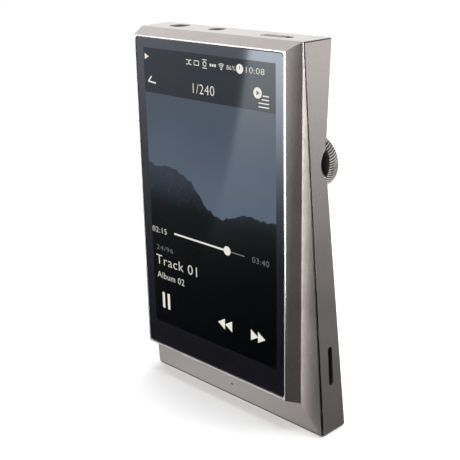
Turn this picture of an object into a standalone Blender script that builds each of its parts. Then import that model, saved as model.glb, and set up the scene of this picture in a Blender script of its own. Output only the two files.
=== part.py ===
"""A pocket music player: a faceted metal body with a leaning right side, a glass front set in a raised
frame, a knurled volume wheel in a notch at the back of the right edge, and the electronics inside.

Measures are in metres, with +Z up. Every piece is a child of an empty at the middle of the lit part of the
display, on the plane of the frame's front, with +X to the right and +Y into the body. The empty stands so
that the world's origin is at the middle of the whole player's underside.
"""

import math

import bmesh
import bpy
from mathutils import Matrix, Vector

MM = 0.001

# Gaps
GAP = 0.30 * MM            # between pieces that touch or nest
LAYER_GAP = 0.20 * MM      # between the flat layers of the display
KEY_GAP = 0.15 * MM        # around a button in its hole
RUNNING_GAP = 0.06 * MM    # around a turning spindle
LIP = 0.10 * MM            # the least metal left along a mitred edge
PAST = 3.0 * MM            # how far a cutter runs past what it cuts
TINY = 1e-6                # under this two points are one
SMOOTH_TURN = math.radians(35)     # edges that turn less are shaded smooth
FLAT_TURN = math.radians(0.5)      # faces that turn less are one

# Sides of the polygons that stand for circles
COARSE = 12
MEDIUM = 16
ROUND = 24
FINE = 48
FINEST = 72

# Display and glass
DISPLAY_WIDTH = 52.3 * MM
DISPLAY_HEIGHT = 87.1 * MM
DISPLAY_BORDER = 1.4 * MM
DISPLAY_THICKNESS = 1.7 * MM
GLASS_LEFT = 3.3 * MM      # how far the glass passes the lit area
GLASS_RIGHT = 2.75 * MM
GLASS_TOP = 2.8 * MM
GLASS_BOTTOM = 8.1 * MM
GLASS_THICKNESS = 0.8 * MM
GLASS_CORNER = 1.1 * MM
GLASS_SINK = 0.06 * MM     # how far the glass lies under the frame's front
GASKET_THICKNESS = 0.30 * MM

# Raised frame round the glass
RIM_LEFT = 0.65 * MM
RIM_RIGHT = 0.35 * MM
RIM_TOP = 0.30 * MM
RIM_BOTTOM = 0.60 * MM
FRAME_DEPTH = 3.75 * MM
FLARE_LEFT = 0.3 * MM      # how far each side of the frame spreads over that depth
FLARE_RIGHT = 2.6 * MM
FLARE_TOP = 2.2 * MM
FLARE_BOTTOM = 1.3 * MM

# Body
BODY_DEPTH = 15.2 * MM
CHIN_HEIGHT = 8.8 * MM
CHIN_SLOPE = 0.0875
RAMP_SLOPE = 0.0966
RAMP_START = 0.25 * MM     # the ramp's width at the top
LEFT_SLOPE = 0.118
SIDE_LEAN = math.tan(math.radians(3.6))
BASE_BEVEL_FRONT = 0.9 * MM
BASE_BEVEL_SLOPE = 1.25    # how steep the front bevel is
BASE_BEVEL_REAR = 0.9 * MM
FRONT_WALL = 1.15 * MM
TOP_WALL = 1.6 * MM
LEFT_WALL = 1.4 * MM
BOTTOM_WALL = 1.9 * MM
REAR_WALL = 1.8 * MM
SIDE_WALL = 1.5 * MM
GROOVE_TOP = 0.25 * MM     # the groove between ramp and side panel, at its two ends
GROOVE_BOTTOM = 0.9 * MM
MIC_HOLE_RADIUS = 0.35 * MM
MIC_HOLE_X = 3.8 * MM
MIC_HOLE_UP = 4.7 * MM     # above the base

# Notch in the back for the wheel
NOTCH_DROP = 30.6 * MM     # its deepest level, below the top
NOTCH_DEPTH = 4.4 * MM     # how deep it is at the side face
NOTCH_CORNER = 0.2 * MM    # how deep it still is at the top and bottom corners
NOTCH_REACH = 17.2 * MM    # how far it runs in across the back

# Inlay in the back
INLAY_THICKNESS = 0.7 * MM
INLAY_EDGE = 2.0 * MM      # from the edges of the cover

# Volume wheel
WHEEL_RADIUS = 7.7 * MM
WHEEL_THICKNESS = 2.8 * MM
WHEEL_FRONT_BEVEL = 0.8 * MM
WHEEL_FRONT_BEVEL_DEPTH = 0.72 * MM
WHEEL_REAR_BEVEL = 0.3 * MM
WHEEL_DROP = 33.0 * MM     # its centre, below the top
WHEEL_INSET = 5.65 * MM    # its centre, in from the side face
WHEEL_BEHIND = 0.4 * MM    # its front face, behind the notch's deepest level
WHEEL_POCKET_GAP = 0.45 * MM
WHEEL_CAP_RADIUS = 5.4 * MM
WHEEL_CAP_THICKNESS = 0.3 * MM
SPINDLE_RADIUS = 1.5 * MM
ENCODER_REACH = 7.0 * MM
BRACKET_THICKNESS = 1.2 * MM
SCOOP_RADIUS = 5.6 * MM
SCOOP_ROUND = 2.8 * MM
BOSS_DEPTH = 3.1 * MM

# Inner plates and boards
MIDFRAME_THICKNESS = 0.8 * MM
MIDFRAME_SCREW_INSET = 3.9 * MM    # in from the lit area's sides
STANDOFF_HEIGHT = 1.0 * MM
STANDOFF_RADIUS = 1.4 * MM
BOARD_THICKNESS = 0.8 * MM
BOARD_HEIGHT = 47.0 * MM
BOARD_DROP = 2.4 * MM      # its top, below the inside of the top wall
BOARD_INSET = 5.2 * MM     # its left edge, in from the left wall
BOARD_SCREW_EDGE = 2.6 * MM
SHIELD_THICKNESS = 1.9 * MM
SHIELD_EDGE = 1.0 * MM     # from the board's left edge
SHIELD_SPACING = 1.2 * MM
SHIELD_LIFT = 5.5 * MM     # above the board's lower edge
FLEX_WIDTH = 16.0 * MM
FLEX_THICKNESS = 0.3 * MM
FLEX_LIFT = 3.0 * MM       # above the board's lower edge
BATTERY_BEHIND = 1.9 * MM  # its front, behind the midframe
BATTERY_LIFT = 1.6 * MM    # above the charging socket
BATTERY_DROP = 1.0 * MM    # below the board
PLUG_WIDTH = 5.0 * MM
PLUG_HEIGHT = 3.5 * MM
PLUG_THICKNESS = 1.2 * MM
PLUG_LIFT = 1.0 * MM       # above the board's lower edge
PLUG_INSET = 12.0 * MM     # from the board's left edge

# Sockets
HEADPHONE_COLLAR_RADIUS = 2.9 * MM
HEADPHONE_BORE_RADIUS = 1.8 * MM
HEADPHONE_FROM_LEFT = 10.2 * MM
BALANCED_COLLAR_RADIUS = 2.35 * MM
BALANCED_BORE_RADIUS = 1.3 * MM
BALANCED_FROM_HEADPHONE = 15.7 * MM
JACK_WALL = 0.55 * MM
JACK_LENGTH = 12.0 * MM
JACK_BEHIND = 0.875 * MM   # the jacks' middle, behind the middle of the top face
COLLAR_HEIGHT = 0.9 * MM
COLLAR_GAP = 0.2 * MM
COLLAR_SINK = 0.15 * MM
CARD_SLOT_LENGTH = 11.8 * MM
CARD_SLOT_WIDTH = 1.8 * MM
CARD_SLOT_BEHIND = 0.125 * MM  # its middle, behind the middle of the side face
CARD_SLOT_UP = 20.6 * MM   # its middle, above the base
CARD_SOCKET_LENGTH = 14.0 * MM
CARD_SOCKET_THICKNESS = 2.9 * MM
CARD_SOCKET_SIDE = 1.2 * MM    # how far the socket passes each end of the slot
CARD_SOCKET_WALL = 1.0 * MM
CARD_THICKNESS = 1.0 * MM
CARD_SIDE_GAP = 0.4 * MM
CARD_BOARD_SIDE = 2.0 * MM
USB_WIDTH = 8.9 * MM
USB_THICKNESS = 3.2 * MM
USB_DEPTH = 5.6 * MM
USB_WALL = 0.35 * MM
USB_CORNER = 1.3 * MM
USB_X = 3.0 * MM
BASE_FITTINGS_BEHIND = 0.225 * MM  # the middle of all that is in the base, behind the middle of its face
CONTACT_RADIUS = 0.7 * MM
CONTACT_PITCH = 2.6 * MM
CONTACT_X = -12.6 * MM
CONTACT_REACH = 1.2 * MM   # past the inside of the bottom wall
BASE_PLATE_WIDTH = 54.0 * MM
BASE_PLATE_DEPTH = 5.6 * MM
BASE_PLATE_THICKNESS = 1.0 * MM
BASE_SCREW_INSET = 3.0 * MM
ANTENNA_GAP = 2.0 * MM
ANTENNA_WIDTH = 14.0 * MM
ANTENNA_HEIGHT = 3.1 * MM
ANTENNA_FRONT = 1.5 * MM   # its two faces, before and behind the middle of the base
ANTENNA_REAR = 0.5 * MM

# Buttons
TRAVEL = 0.35 * MM
POWER_SLOT_LENGTH = 9.9 * MM
POWER_SLOT_WIDTH = 2.1 * MM
POWER_FROM_RIGHT = 13.1 * MM
POWER_BEFORE = 0.875 * MM  # its middle, in front of the middle of the top face
POWER_GAP = 0.2 * MM       # between the power button and its slot
POWER_SINK = 0.2 * MM
POWER_SWITCH_LENGTH = 4.4 * MM
POWER_SWITCH_FRONT = 0.5 * MM
POWER_SWITCH_REAR = 2.2 * MM
LIGHT_RADIUS = 0.75 * MM
LIGHT_SINK = 0.6 * MM
SIDE_KEY_LENGTH = 6.4 * MM
SIDE_KEY_WIDTH = 1.9 * MM
SIDE_KEY_PITCH = 9.5 * MM
SIDE_KEY_DROP = 31.0 * MM  # the middle key, below the top
KEY_FLANGE = 0.5 * MM      # a key's flange is this much larger and this thick
KEY_SINK = 0.05 * MM
SWITCH_THICKNESS = 0.8 * MM
KEY_BOARD_THICKNESS = 0.6 * MM
SIDE_SWITCH_WIDTH = 3.0 * MM
SIDE_SWITCH_LENGTH = 3.6 * MM
KEY_BOARD_WIDTH = 4.0 * MM
KEY_BOARD_PAST = 4.0 * MM  # how far the board passes the outer keys' middles

# Screws
SCREW_RADIUS = 0.5 * MM
SCREW_HEAD_RADIUS = 0.9 * MM
SCREW_HEAD_HEIGHT = 0.5 * MM
SCREW_GRIP = 0.9 * MM      # how far a screw goes into what it holds to
SCREW_CROWN = 0.8          # shares of the head's radius and height where its rounding starts
SCREW_SHOULDER = 0.6

# Places that follow from the sizes
LIT_X = DISPLAY_WIDTH / 2
LIT_Z = DISPLAY_HEIGHT / 2
OPEN_LEFT = -(LIT_X + GLASS_LEFT + LAYER_GAP)
OPEN_RIGHT = LIT_X + GLASS_RIGHT + LAYER_GAP
OPEN_TOP = LIT_Z + GLASS_TOP + LAYER_GAP
OPEN_BOTTOM = -(LIT_Z + GLASS_BOTTOM + LAYER_GAP)
FRAME_LEFT = OPEN_LEFT - RIM_LEFT
FRAME_RIGHT = OPEN_RIGHT + RIM_RIGHT
FRAME_TOP = OPEN_TOP + RIM_TOP
FRAME_BOTTOM = OPEN_BOTTOM - RIM_BOTTOM
FOOT_RIGHT = FRAME_RIGHT + FLARE_RIGHT
FOOT_BOTTOM = FRAME_BOTTOM - FLARE_BOTTOM
FOOT_LEFT = FRAME_LEFT - FLARE_LEFT
TOP = FRAME_TOP + FLARE_TOP
BASE = FOOT_BOTTOM - CHIN_HEIGHT
SIDE_TOP = FOOT_RIGHT + RAMP_START
SIDE_BASE = SIDE_TOP + SIDE_LEAN * (TOP - BASE)
LEFT_BACK = FOOT_LEFT - LEFT_SLOPE * (BODY_DEPTH - FRAME_DEPTH)
INNER_FRONT = FRAME_DEPTH + FRONT_WALL
INNER_REAR = BODY_DEPTH - REAR_WALL
INNER_TOP = TOP - TOP_WALL
INNER_BASE = BASE + BOTTOM_WALL
NOTCH_Z = TOP - NOTCH_DROP
NOTCH_Y = BODY_DEPTH - NOTCH_DEPTH
WHEEL_Z = TOP - WHEEL_DROP
WHEEL_FRONT = NOTCH_Y + WHEEL_BEHIND
WHEEL_REAR = WHEEL_FRONT + WHEEL_THICKNESS
MIDFRAME_FRONT = INNER_FRONT + GAP
MIDFRAME_REAR = MIDFRAME_FRONT + MIDFRAME_THICKNESS
BOARD_FRONT = MIDFRAME_REAR + STANDOFF_HEIGHT + GAP
BOARD_REAR = BOARD_FRONT + BOARD_THICKNESS
BOARD_TOP = INNER_TOP - BOARD_DROP
BOARD_BOTTOM = BOARD_TOP - BOARD_HEIGHT
BODY_MIDDLE = (FRAME_DEPTH + BODY_DEPTH) / 2
JACK_Y = BODY_MIDDLE + JACK_BEHIND
POWER_Y = BODY_MIDDLE - POWER_BEFORE
CARD_SLOT_Y = BODY_MIDDLE + CARD_SLOT_BEHIND
CARD_Z = BASE + CARD_SLOT_UP
BASE_X = USB_X
BASE_Y = BODY_MIDDLE + BASE_FITTINGS_BEHIND
BATTERY_BOTTOM = BASE + USB_DEPTH + BATTERY_LIFT
FLEX_Z = BOARD_BOTTOM + FLEX_LIFT
DISPLAY_FRONT = GLASS_SINK + GLASS_THICKNESS + LAYER_GAP
SEAT_Y = DISPLAY_FRONT + GASKET_THICKNESS + LAYER_GAP
SIDE_NORMAL = Vector((1.0, 0.0, SIDE_LEAN)).normalized()


def side_x(z, inset=0.0):
    """Where the right side face, or a plane that far inside it, is at height z."""
    return SIDE_TOP + SIDE_LEAN * (TOP - z) - inset / SIDE_NORMAL.x


def left_x(y, inset=0.0):
    """Where the left wall's outside, or a plane that far inside it, is at depth y."""
    return FOOT_LEFT - LEFT_SLOPE * (y - FRAME_DEPTH) + inset * math.hypot(1.0, LEFT_SLOPE)


WHEEL_X = side_x(WHEEL_Z) - WHEEL_INSET
POWER_X = side_x(TOP) - POWER_FROM_RIGHT
BOARD_LEFT = left_x(BODY_DEPTH, LEFT_WALL) + BOARD_INSET
BOARD_RIGHT = side_x(TOP, BOSS_DEPTH + GAP)
WHEEL_REACH = WHEEL_RADIUS + WHEEL_POCKET_GAP


# ---------------------------------------------------------------- scene and materials

def clear_scene():
    for old in list(bpy.data.objects):
        bpy.data.objects.remove(old, do_unlink=True)


def new_collection(name):
    collection = bpy.data.collections.new(name)
    bpy.context.scene.collection.children.link(collection)
    return collection


def new_material(name, colour, roughness, metallic):
    material = bpy.data.materials.new(name)
    material.use_nodes = True
    shader = material.node_tree.nodes["Principled BSDF"]
    shader.inputs["Base Color"].default_value = (*colour, 1.0)
    shader.inputs["Roughness"].default_value = roughness
    shader.inputs["Metallic"].default_value = metallic
    return material


clear_scene()
PARTS = new_collection("music_player")
CUTTERS = new_collection("cutters")
CENTRE = bpy.data.objects.new("display_centre", None)
CENTRE.location = (-(LEFT_BACK + SIDE_BASE) / 2, -BODY_DEPTH / 2, -BASE)
PARTS.objects.link(CENTRE)

BODY_METAL = new_material("blasted_metal", (0.46, 0.44, 0.42), 0.42, 1.0)
SIDE_METAL = new_material("blasted_side_metal", (0.44, 0.42, 0.40), 0.44, 1.0)
WHEEL_METAL = new_material("wheel_metal", (0.55, 0.53, 0.50), 0.30, 1.0)
STEEL = new_material("steel", (0.60, 0.60, 0.61), 0.35, 1.0)
GOLD = new_material("contact_gold", (0.83, 0.62, 0.26), 0.30, 1.0)
GLASS = new_material("cover_glass", (0.05, 0.06, 0.08), 0.03, 0.0)
SCREEN = new_material("display", (0.03, 0.04, 0.06), 0.20, 0.0)
CARBON = new_material("rear_inlay", (0.03, 0.03, 0.035), 0.15, 0.0)
BLACK = new_material("black_plastic", (0.02, 0.02, 0.02), 0.40, 0.0)
RUBBER = new_material("gasket", (0.03, 0.03, 0.03), 0.80, 0.0)
BOARD = new_material("circuit_board", (0.02, 0.12, 0.08), 0.50, 0.0)
FLEX = new_material("flex_film", (0.45, 0.24, 0.05), 0.40, 0.0)
POUCH = new_material("battery_pouch", (0.55, 0.56, 0.58), 0.45, 0.6)
LENS = new_material("light_lens", (0.10, 0.10, 0.11), 0.20, 0.0)


# ---------------------------------------------------------------- shape tools

def add_object(name, mesh, place=(0.0, 0.0, 0.0)):
    obj = bpy.data.objects.new(name, mesh)
    obj.parent = CENTRE
    obj.location = place
    return obj


def as_part(obj, name, material):
    obj.name = name
    obj.data.materials.clear()
    obj.data.materials.append(material)
    PARTS.objects.link(obj)
    return obj


def as_cutter(obj):
    obj.hide_render = True
    obj.display_type = "WIRE"
    CUTTERS.objects.link(obj)
    return obj


def boolean(obj, cutter, operation="DIFFERENCE"):
    step = obj.modifiers.new(operation.lower(), "BOOLEAN")
    step.operation = operation
    step.object = as_cutter(cutter)
    return obj


def mesh_from(bm, name):
    bmesh.ops.recalc_face_normals(bm, faces=bm.faces)
    mesh = bpy.data.meshes.new(name)
    bm.to_mesh(mesh)
    bm.free()
    return mesh


def block(name, low, high, cuts=(), place=(0.0, 0.0, 0.0)):
    """A box between two corners, trimmed by planes: (a point, the direction of what goes)."""
    low, high = Vector(low), Vector(high)
    bm = bmesh.new()
    bmesh.ops.create_cube(bm, size=1.0)
    bmesh.ops.scale(bm, vec=high - low, verts=bm.verts)
    bmesh.ops.translate(bm, vec=(low + high) / 2, verts=bm.verts)
    for point, direction in cuts:
        bmesh.ops.bisect_plane(
            bm, geom=bm.verts[:] + bm.edges[:] + bm.faces[:], dist=TINY / 100,
            plane_co=point, plane_no=direction, clear_outer=True,
        )
        bmesh.ops.holes_fill(bm, edges=bm.edges)
    bmesh.ops.translate(bm, vec=-Vector(place), verts=bm.verts)
    return add_object(name, mesh_from(bm, name), place)


AXIS_TURN = {
    "X": Matrix(((0, 0, 1), (1, 0, 0), (0, 1, 0))),
    "Y": Matrix(((1, 0, 0), (0, 0, -1), (0, 1, 0))),
    "Z": Matrix.Identity(3),
}


def cylinder(name, radius, centre, axis, low, high, segments=FINE, place=(0.0, 0.0, 0.0)):
    """A round bar along one axis; centre gives the other two coordinates in X, Y, Z order."""
    bm = bmesh.new()
    bmesh.ops.create_cone(
        bm, segments=segments, radius1=radius, radius2=radius, depth=high - low, cap_ends=True,
    )
    bmesh.ops.rotate(bm, cent=(0, 0, 0), matrix=AXIS_TURN[axis], verts=bm.verts)
    middle = list(centre)
    middle.insert("XYZ".index(axis), (low + high) / 2)
    bmesh.ops.translate(bm, vec=Vector(middle) - Vector(place), verts=bm.verts)
    mesh = mesh_from(bm, name)
    mesh.shade_smooth()
    mesh.set_sharp_from_angle(angle=SMOOTH_TURN)
    return add_object(name, mesh, place)


def turned(name, profile, steps, place, turn):
    """A profile of (radius, height) points from top to bottom, turned about its own Z axis."""
    mesh = bpy.data.meshes.new(name)
    points = [(radius, 0.0, height) for radius, height in profile]
    mesh.from_pydata(points, [(i, i + 1) for i in range(len(points) - 1)], [])
    obj = add_object(name, mesh, place)
    obj.rotation_euler = turn.to_euler()
    screw = obj.modifiers.new("turn", "SCREW")
    screw.steps = steps
    screw.render_steps = steps
    screw.use_merge_vertices = True
    screw.merge_threshold = TINY
    screw.use_smooth_shade = False
    return obj


def plate(name, outline, axis, low, high, place=(0.0, 0.0, 0.0)):
    """A flat outline, given as the other two coordinates in X, Y, Z order, between two levels of an axis."""
    curve = bpy.data.curves.new(name, "CURVE")
    curve.dimensions = "2D"
    curve.fill_mode = "BOTH"
    curve.extrude = (high - low) / 2
    spline = curve.splines.new("POLY")
    spline.points.add(len(outline) - 1)
    for point, (u, v) in zip(spline.points, outline):
        point.co = (u, v, 0.0, 1.0)
    spline.use_cyclic_u = True
    shape = bpy.data.objects.new(name, curve)
    bpy.context.scene.collection.objects.link(shape)
    graph = bpy.context.evaluated_depsgraph_get()
    mesh = bpy.data.meshes.new_from_object(shape.evaluated_get(graph))
    bpy.data.objects.remove(shape)
    bm = bmesh.new()
    bm.from_mesh(mesh)
    bmesh.ops.remove_doubles(bm, verts=bm.verts, dist=TINY)
    bmesh.ops.dissolve_limit(bm, angle_limit=FLAT_TURN, verts=bm.verts, edges=bm.edges)
    bmesh.ops.rotate(bm, cent=(0, 0, 0), matrix=AXIS_TURN[axis], verts=bm.verts)
    shift = Vector((0.0, 0.0, 0.0))
    shift["XYZ".index(axis)] = (low + high) / 2
    bmesh.ops.translate(bm, vec=shift - Vector(place), verts=bm.verts)
    bpy.data.meshes.remove(mesh)
    return add_object(name, mesh_from(bm, name), place)


def rounded(centre, width, height, radius, steps=5):
    """The outline of a rectangle with round corners."""
    outline = []
    for quarter, (sign_u, sign_v) in enumerate(((1, 1), (-1, 1), (-1, -1), (1, -1))):
        u = centre[0] + sign_u * (width / 2 - radius)
        v = centre[1] + sign_v * (height / 2 - radius)
        for step in range(steps + 1):
            angle = math.radians(90 * (quarter + step / steps))
            outline.append((u + radius * math.cos(angle), v + radius * math.sin(angle)))
    return outline


def pill(centre, width, height, steps=6):
    """The outline of a slot with round ends; a straight stretch keeps its two arcs apart."""
    return rounded(centre, width, height, min(width, height) / 2 - TINY, steps)


def span(low, high):
    """The middle and the length between two levels."""
    return (low + high) / 2, high - low


# ---------------------------------------------------------------- planes of the body

def side_plane(inset=0.0, keep_outer=False):
    point = Vector((SIDE_TOP, 0.0, TOP)) - SIDE_NORMAL * inset
    return point, -SIDE_NORMAL if keep_outer else SIDE_NORMAL


def left_plane(inset=0.0):
    normal = Vector((-1.0, -LEFT_SLOPE, 0.0)).normalized()
    return Vector((FOOT_LEFT, FRAME_DEPTH, 0.0)) - normal * inset, normal


def ramp_plane():
    return Vector((FOOT_RIGHT, FRAME_DEPTH, 0.0)), Vector((RAMP_SLOPE, -1.0, 0.0))


def chin_plane():
    return Vector((0.0, FRAME_DEPTH, FOOT_BOTTOM)), Vector((0.0, -1.0, -CHIN_SLOPE))


def base_bevels():
    chin_y = FRAME_DEPTH + CHIN_SLOPE * (CHIN_HEIGHT - BASE_BEVEL_FRONT)
    front = Vector((0.0, chin_y, BASE + BASE_BEVEL_FRONT))
    rear = Vector((0.0, BODY_DEPTH, BASE + BASE_BEVEL_REAR))
    return (front, Vector((0.0, -BASE_BEVEL_SLOPE, -1.0))), (rear, Vector((0.0, 1.0, -1.0)))


def ramp_y(x):
    return FRAME_DEPTH + RAMP_SLOPE * (x - FOOT_RIGHT)


def mitre_planes(top_gap, base_gap, front_top_gap, front_base_gap):
    """The joint faces between side panel and housing, turned so that the side panel is kept."""
    top = Vector((side_x(TOP), 0.0, TOP - top_gap))
    base = Vector((side_x(BASE), 0.0, BASE + base_gap))
    upper = Vector((side_x(TOP), ramp_y(side_x(TOP)) + front_top_gap, TOP))
    lower = Vector((side_x(BASE), ramp_y(side_x(BASE)) + front_base_gap, BASE))
    front = (lower - upper).cross(Vector((-1.0, 1.0, 0.0)))
    if front.y > 0:
        front.negate()
    return (
        (top, Vector((-1.0, 0.0, 1.0))),
        (base, Vector((-1.0, 0.0, -1.0))),
        (upper, front),
    )


def notch_cutter(deeper=0.0):
    """The wedge of space behind the two facets of the back."""
    shift = Vector((0.0, -deeper, 0.0))
    inner = Vector((side_x(NOTCH_Z) - NOTCH_REACH, BODY_DEPTH, NOTCH_Z)) + shift
    valley = Vector((side_x(NOTCH_Z), NOTCH_Y, NOTCH_Z)) + shift
    cuts = []
    for corner_z in (TOP, BASE):
        corner = Vector((side_x(corner_z), BODY_DEPTH - NOTCH_CORNER, corner_z)) + shift
        normal = (corner - valley).cross(inner - valley)
        if normal.y > 0:
            normal.negate()
        cuts.append((valley, normal))
    low = (-SIDE_BASE, NOTCH_Y / 2 - deeper, BASE - PAST)
    high = (SIDE_BASE + PAST, BODY_DEPTH + PAST, TOP + PAST)
    return block("notch", low, high, cuts)


def body_block(name):
    """The body without its raised frame, before it is hollowed."""
    cuts = [left_plane(), side_plane(), ramp_plane(), chin_plane(), *base_bevels()]
    low = (LEFT_BACK - PAST, FRAME_DEPTH, BASE)
    high = (SIDE_BASE + PAST, BODY_DEPTH, TOP)
    return block(name, low, high, cuts)


def side_block(name):
    """The wall on the right, between its joints with the body."""
    joints = mitre_planes(LIP + LAYER_GAP, LIP + LAYER_GAP, LIP + GROOVE_TOP, LIP + GROOVE_BOTTOM)
    cuts = [side_plane(), side_plane(SIDE_WALL, keep_outer=True), *joints]
    return block(name, (0.0, FRAME_DEPTH, BASE), (SIDE_BASE + PAST, BODY_DEPTH, TOP), cuts)


# ---------------------------------------------------------------- outer pieces

def frame_block():
    """The raised frame's outer shape; it runs into the body so that the two join."""
    cuts = []
    for x, z, direction, flare in (
        (FRAME_RIGHT, 0.0, Vector((1.0, 0.0, 0.0)), FLARE_RIGHT),
        (FRAME_LEFT, 0.0, Vector((-1.0, 0.0, 0.0)), FLARE_LEFT),
        (0.0, FRAME_TOP, Vector((0.0, 0.0, 1.0)), FLARE_TOP),
        (0.0, FRAME_BOTTOM, Vector((0.0, 0.0, -1.0)), FLARE_BOTTOM),
    ):
        cuts.append((Vector((x, 0.0, z)), direction - Vector((0.0, flare / FRAME_DEPTH, 0.0))))
    depth = FRAME_DEPTH + FRONT_WALL / 2
    return block("raised_frame", (LEFT_BACK, 0.0, BASE), (SIDE_BASE, depth, TOP), cuts)


def make_front_housing():
    housing = as_part(body_block("front_housing"), "front_housing", BODY_METAL)
    boolean(housing, notch_cutter())
    boolean(housing, frame_block(), "UNION")
    cavity_cuts = [left_plane(LEFT_WALL)]
    boolean(housing, block(
        "cavity", (LEFT_BACK - PAST, INNER_FRONT, INNER_BASE),
        (SIDE_BASE + PAST, BODY_DEPTH + PAST, INNER_TOP), cavity_cuts,
    ))
    pocket_cuts = [side_plane(SIDE_WALL + GAP, keep_outer=True), *mitre_planes(LIP, LIP, LIP, LIP)]
    boolean(housing, block(
        "side_pocket", (0.0, -PAST, BASE - PAST), (SIDE_BASE + 2 * PAST, BODY_DEPTH + PAST, TOP + PAST),
        pocket_cuts,
    ))
    x, width = span(OPEN_LEFT, OPEN_RIGHT)
    z, height = span(OPEN_BOTTOM, OPEN_TOP)
    outline = rounded((x, z), width, height, GLASS_CORNER + LAYER_GAP)
    boolean(housing, plate("glass_opening", outline, "Y", -PAST, SEAT_Y))
    low, high = display_box(LAYER_GAP)
    low.y, high.y = SEAT_Y - PAST / 2, INNER_FRONT + PAST / 2
    boolean(housing, block("display_opening", low, high))
    boolean(housing, cylinder(
        "mic_hole", MIC_HOLE_RADIUS, (MIC_HOLE_X, BASE + MIC_HOLE_UP), "Y",
        FRAME_DEPTH - PAST, INNER_FRONT + PAST / 2, COARSE,
    ))
    for jack_x, radius in jack_places():
        boolean(housing, cylinder(
            "jack_hole", radius + COLLAR_GAP, (jack_x, JACK_Y), "Z", INNER_TOP - PAST / 3, TOP + PAST,
        ))
    boolean(housing, plate(
        "power_slot", pill((POWER_X, POWER_Y), POWER_SLOT_LENGTH, POWER_SLOT_WIDTH),
        "Z", INNER_TOP - PAST / 3, TOP + PAST,
    ))
    for key_z in side_key_levels():
        boolean(housing, plate(
            "side_key_slot",
            pill((JACK_Y, key_z), SIDE_KEY_WIDTH + 2 * KEY_GAP, SIDE_KEY_LENGTH + 2 * KEY_GAP),
            "X", LEFT_BACK - PAST, left_x(BODY_DEPTH / 2, LEFT_WALL) + PAST / 3,
        ))
    low, high = base_plate_box(LAYER_GAP)
    low.z = BASE - PAST
    boolean(housing, block("base_recess", low, high))
    boolean(housing, usb_hole())
    for contact_x in contact_places():
        boolean(housing, cylinder(
            "contact_hole", CONTACT_RADIUS + KEY_GAP, (contact_x, BASE_Y), "Z",
            BASE - PAST, INNER_BASE + PAST, MEDIUM,
        ))
    for screw_x in base_screw_places():
        boolean(housing, cylinder(
            "base_screw_hole", SCREW_RADIUS + RUNNING_GAP, (screw_x, BASE_Y), "Z",
            BASE, INNER_BASE + PAST, COARSE,
        ))
    for screw_x, screw_z in midframe_screw_places():
        boolean(housing, cylinder(
            "midframe_screw_hole", SCREW_RADIUS + RUNNING_GAP, (screw_x, screw_z), "Y",
            INNER_FRONT - SCREW_GRIP - LAYER_GAP, INNER_FRONT + PAST / 2, COARSE,
        ))


def make_side_panel():
    panel = as_part(side_block("right_side_panel"), "right_side_panel", SIDE_METAL)
    reach = SCOOP_RADIUS + GAP
    boss_cuts = [side_plane(SIDE_WALL / 2), side_plane(BOSS_DEPTH, keep_outer=True)]
    boolean(panel, block(
        "boss", (0.0, BOARD_FRONT + BOARD_THICKNESS / 2, WHEEL_Z - reach),
        (SIDE_BASE, NOTCH_Y + WHEEL_BEHIND, WHEEL_Z + reach), boss_cuts,
    ), "UNION")
    boolean(panel, notch_cutter())
    boolean(panel, wheel_pocket(WHEEL_FRONT - GAP))
    boolean(panel, scoop_cutter())
    centre = (CARD_SLOT_Y, CARD_Z)
    boolean(panel, plate(
        "card_slot", pill(centre, CARD_SLOT_WIDTH, CARD_SLOT_LENGTH, steps=5),
        "X", side_x(CARD_Z, SIDE_WALL) - PAST, SIDE_BASE + PAST,
    ))


def scoop_cutter():
    """The rounded finger space in the side face, in front of the wheel."""
    profile = [(SCOOP_RADIUS, SCOOP_ROUND)]
    steps = 6
    for step in range(1, steps + 1):
        angle = math.radians(90 * step / steps)
        profile.append((SCOOP_RADIUS - SCOOP_ROUND * math.sin(angle), SCOOP_ROUND * (math.cos(angle) - 1.0)))
    profile.append((SCOOP_RADIUS - SCOOP_ROUND, -2 * SCOOP_ROUND))
    profile = [(0.0, profile[0][1]), *profile, (0.0, profile[-1][1])]
    turn = Vector((0.0, 0.0, 1.0)).rotation_difference(SIDE_NORMAL)
    place = Vector((side_x(WHEEL_Z), NOTCH_Y + SCOOP_RADIUS - SCOOP_ROUND, WHEEL_Z))
    return turned("scoop", profile, FINE, place, turn)


def wheel_pocket(front):
    return cylinder(
        "wheel_pocket", WHEEL_REACH, (WHEEL_X, WHEEL_Z), "Y", front, BODY_DEPTH + PAST, FINEST,
    )


def make_rear_cover():
    """The back, which fits inside the walls and follows the notch."""
    def inset_block(name, low_y, high_y, edge):
        cuts = [left_plane(LEFT_WALL + edge), side_plane(SIDE_WALL + edge)]
        low = (LEFT_BACK, low_y, INNER_BASE + edge)
        return block(name, low, (SIDE_BASE, high_y, INNER_TOP - edge), cuts)

    cover = as_part(inset_block("rear_cover", INNER_FRONT, BODY_DEPTH, GAP), "rear_cover", BODY_METAL)
    boolean(cover, notch_cutter())
    hollow = inset_block("under_cover", 0.0, INNER_REAR, -GAP)
    boolean(hollow, notch_cutter(REAR_WALL))
    boolean(cover, hollow)
    boolean(cover, wheel_pocket(INNER_FRONT))
    outline = inlay_outline(INLAY_EDGE - LAYER_GAP)
    boolean(cover, plate(
        "inlay_recess", outline, "Y", BODY_DEPTH - INLAY_THICKNESS - LAYER_GAP, BODY_DEPTH + PAST,
    ))


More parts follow.
